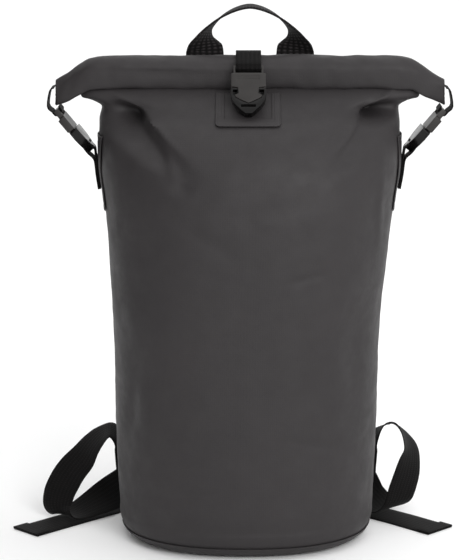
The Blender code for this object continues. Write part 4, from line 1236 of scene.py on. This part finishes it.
# Lower webbing. out is measured sideways from the base's side, back from the middle, and the strap's
# across direction has the shares inward, rear and up.
Bend = namedtuple("Bend", "out back height inward rear up")
bends = {
    leftSide: (
        Bend(0.0095, 0.035, 0.0940, -0.08, -0.97, -0.12),
        Bend(0.0215, 0.034, 0.0880, 0.10, -0.93, -0.30),
        Bend(0.0315, 0.032, 0.0775, 0.32, -0.86, -0.38),
        Bend(0.0400, 0.030, 0.0650, 0.58, -0.73, -0.35),
        Bend(0.0505, 0.028, 0.0530, 0.74, -0.62, -0.28),
        Bend(0.0585, 0.026, 0.0405, 0.84, -0.52, -0.14),
        Bend(0.0640, 0.023, 0.0285, 0.86, -0.50, 0.00),
        Bend(0.0655, 0.020, 0.0150, 0.80, -0.60, 0.00),
        Bend(0.0580, 0.022, 0.0065, 0.77, -0.64, 0.00),
        Bend(0.0430, 0.033, 0.0068, 0.64, -0.74, -0.14),
        Bend(0.0250, 0.048, 0.0120, 0.40, -0.80, -0.45),
        Bend(0.0110, 0.064, 0.0170, 0.30, -0.68, -0.66),
        Bend(-0.0030, 0.084, 0.0210, 0.50, -0.42, -0.75),
    ),
    rightSide: (
        Bend(0.0130, 0.036, 0.0985, 0.00, -0.95, 0.30),
        Bend(0.0255, 0.036, 0.0990, 0.05, -0.95, 0.28),
        Bend(0.0395, 0.035, 0.0762, 0.42, -0.86, 0.22),
        Bend(0.0385, 0.032, 0.0550, 0.70, -0.70, 0.10),
        Bend(0.0335, 0.029, 0.0360, 0.80, -0.60, 0.00),
        Bend(0.0265, 0.028, 0.0180, 0.78, -0.62, 0.00),
        Bend(0.0155, 0.038, 0.0080, 0.74, -0.66, -0.05),
        Bend(0.0010, 0.060, 0.0110, 0.70, -0.66, -0.25),
    ),
}


# Free tails on the floor: where each leaves the bag's side, and the length from there to its end.
Tail = namedtuple("Tail", "out back length hem")
tails = {leftSide: Tail(0.007, 0.068, 0.124, 0.016), rightSide: Tail(-0.004, 0.058, 0.102, 0.014)}


# How a tail falls from its ladder lock to the floor. out, back and down are measured from where it
# leaves the lock, and its across direction has the shares outward, rear and up.
Fall = namedtuple("Fall", "out back down outward rear up")
falls = (
    Fall(0.0050, 0.0005, 0.0062, 0.76, 0.00, 0.64),
    Fall(0.0090, 0.0030, 0.0150, 0.85, 0.00, 0.50),
    Fall(0.0112, 0.0060, 0.0280, 0.95, 0.05, 0.28),
    Fall(0.0122, 0.0030, 0.0416, 0.98, 0.15, 0.06),
    Fall(0.0142, -0.0070, 0.0450, 0.95, 0.30, 0.00),
    Fall(0.0200, -0.0220, 0.0450, 0.86, 0.50, 0.00),
)


def makeLowerWebbing(side):
    middle, down, face, lockAcross = lockFrame(side)
    half = bagForm["baseWidth"] / 2
    stops = []
    for up in (0.004, 0.020, 0.036):
        height = patches["anchorPatchLow"] + up
        turn = turnAtY(patches["anchorDepth"], height, side)
        stops.append((skinPoint(turn, height, layOff()), skinAcross(turn, height) * -side))
    for bend in bends[side]:
        point = Vector((side * (half + bend.out), bend.back, bend.height))
        stops.append((point, Vector((-side * bend.inward, bend.rear, bend.up))))
    bar = middle + down * (carry["lockLength"] - carry["lockBar"]) / 2
    radius = wrapOut(carry["lockThick"])
    across = lockAcross if lockAcross.dot(stops[-1][1]) > 0 else lockAcross * -1
    for below, inward in ((0.027, 0.0040), (0.015, 0.0008), (0.006, 0.0)):
        stops.append((bar - face * (radius + inward) + down * below, across))
    path = smoothPath(stops, 3)
    loop = clearOfBag(path[3:], strap["webWide"], layOff() + strap["laySlack"])
    path[3:] = overFloor(loop, strap["webWide"], loopGap)
    path += [(point, across) for point in wrapBar(bar, down, face * -1, carry["lockThick"], carry["lockBar"])]
    tail = tails[side]
    flat = strap["webThick"] / 2 + 0.0002
    heading = Vector((side * math.sin(tailHeading), -math.cos(tailHeading), 0))
    level = Vector((side * math.cos(tailHeading), math.sin(tailHeading), 0))
    flip = 1 if level.dot(across) > 0 else -1
    level *= flip
    start = Vector((side * (half + tail.out), tail.back, flat))
    end = start + heading * tail.length
    last = path[-1][0]
    stops = [(last, across)]
    for fall in falls:
        point = last + Vector((side * fall.out, fall.back, -fall.down))
        stops.append((point, Vector((side * fall.outward, fall.rear, fall.up)) * flip))
    stops += [(start, level), (start + heading * tail.length / 2, level), (end - heading * 0.002, level)]
    path += overFloor(smoothPath(stops, 3)[1:], strap["webWide"], bagForm["clearance"] / 2)
    fold = (strap["webThick"] + bagForm["clearance"]) / 2
    up = Vector((0, 0, 1))
    path += [(point, level) for point in wrap(end + up * fold, heading * -1, up * -1, fold, fold, 4)[1:]]
    path.append((end + up * 2 * fold - heading * tail.hem, level))
    return ribbon("lower_webbing_" + sideWords[side], path, strap["webWide"])


# Shoulder pads: foam between two cloths, with a flat bound edge
pad = {"around": 48, "along": 90, "binding": 0.86, "bindingThick": 0.45}


def makePad(side):
    word = sideWords[side]

    def place(u, v):
        share = pads[-1].height + (pads[0].height - pads[-1].height) * v
        middle, width, down, face = padFrame(side, share)
        turn = 2 * math.pi * u
        across = power(math.cos(turn), 0.45)
        lift = power(math.sin(turn), 0.35)
        crown = 1 - 0.35 * abs(across) ** 4
        if abs(across) > pad["binding"]:
            step = max(0.0, 1 - (abs(across) - pad["binding"]) / 0.04)
            crown *= pad["bindingThick"] + (1 - pad["bindingThick"]) * step
        ends = min(1.0, 0.45 + min(v, 1 - v) / 0.05)
        wide = down.cross(face)
        point = middle + wide * (across * width / 2) + face * (lift * crown * ends * carry["strapThick"] / 2)
        return point, (u * 0.13, v * 0.33)

    piece = spread("shoulder_strap_" + word + "_pad", pad["around"], pad["along"], place, padCloth,
                   "shoulder_strap_" + word, closed=True, capped=True)


makeBody()
print("body and base spread")
makeRoll()
makeFrontPatch()
makeYoke()
print("roll and patches spread")
makeFrontStrap()
makeFrontTab()
makeHandle()
mouthAt, downward, outward, _ = frontClosure()
makeClip(("front_buckle_female", "front_buckle_male"), frameAt(mouthAt, downward * -1, outward))
for side, word in sideWords.items():
    makeSidePatches(side)
    makeEndLoop(side)
    makeSideTab(side)
    makePad(side)
    makeStrapTab(side)
    makeLowerWebbing(side)
    mouthAt, upward, outward, _, _ = sideClosure(side)
    makeClip(("side_buckle_female_" + word, "side_buckle_male_" + word), frameAt(mouthAt, upward, outward))
    makeMoulded("ladder_lock_" + word)
print("straps, pads and buckles made")
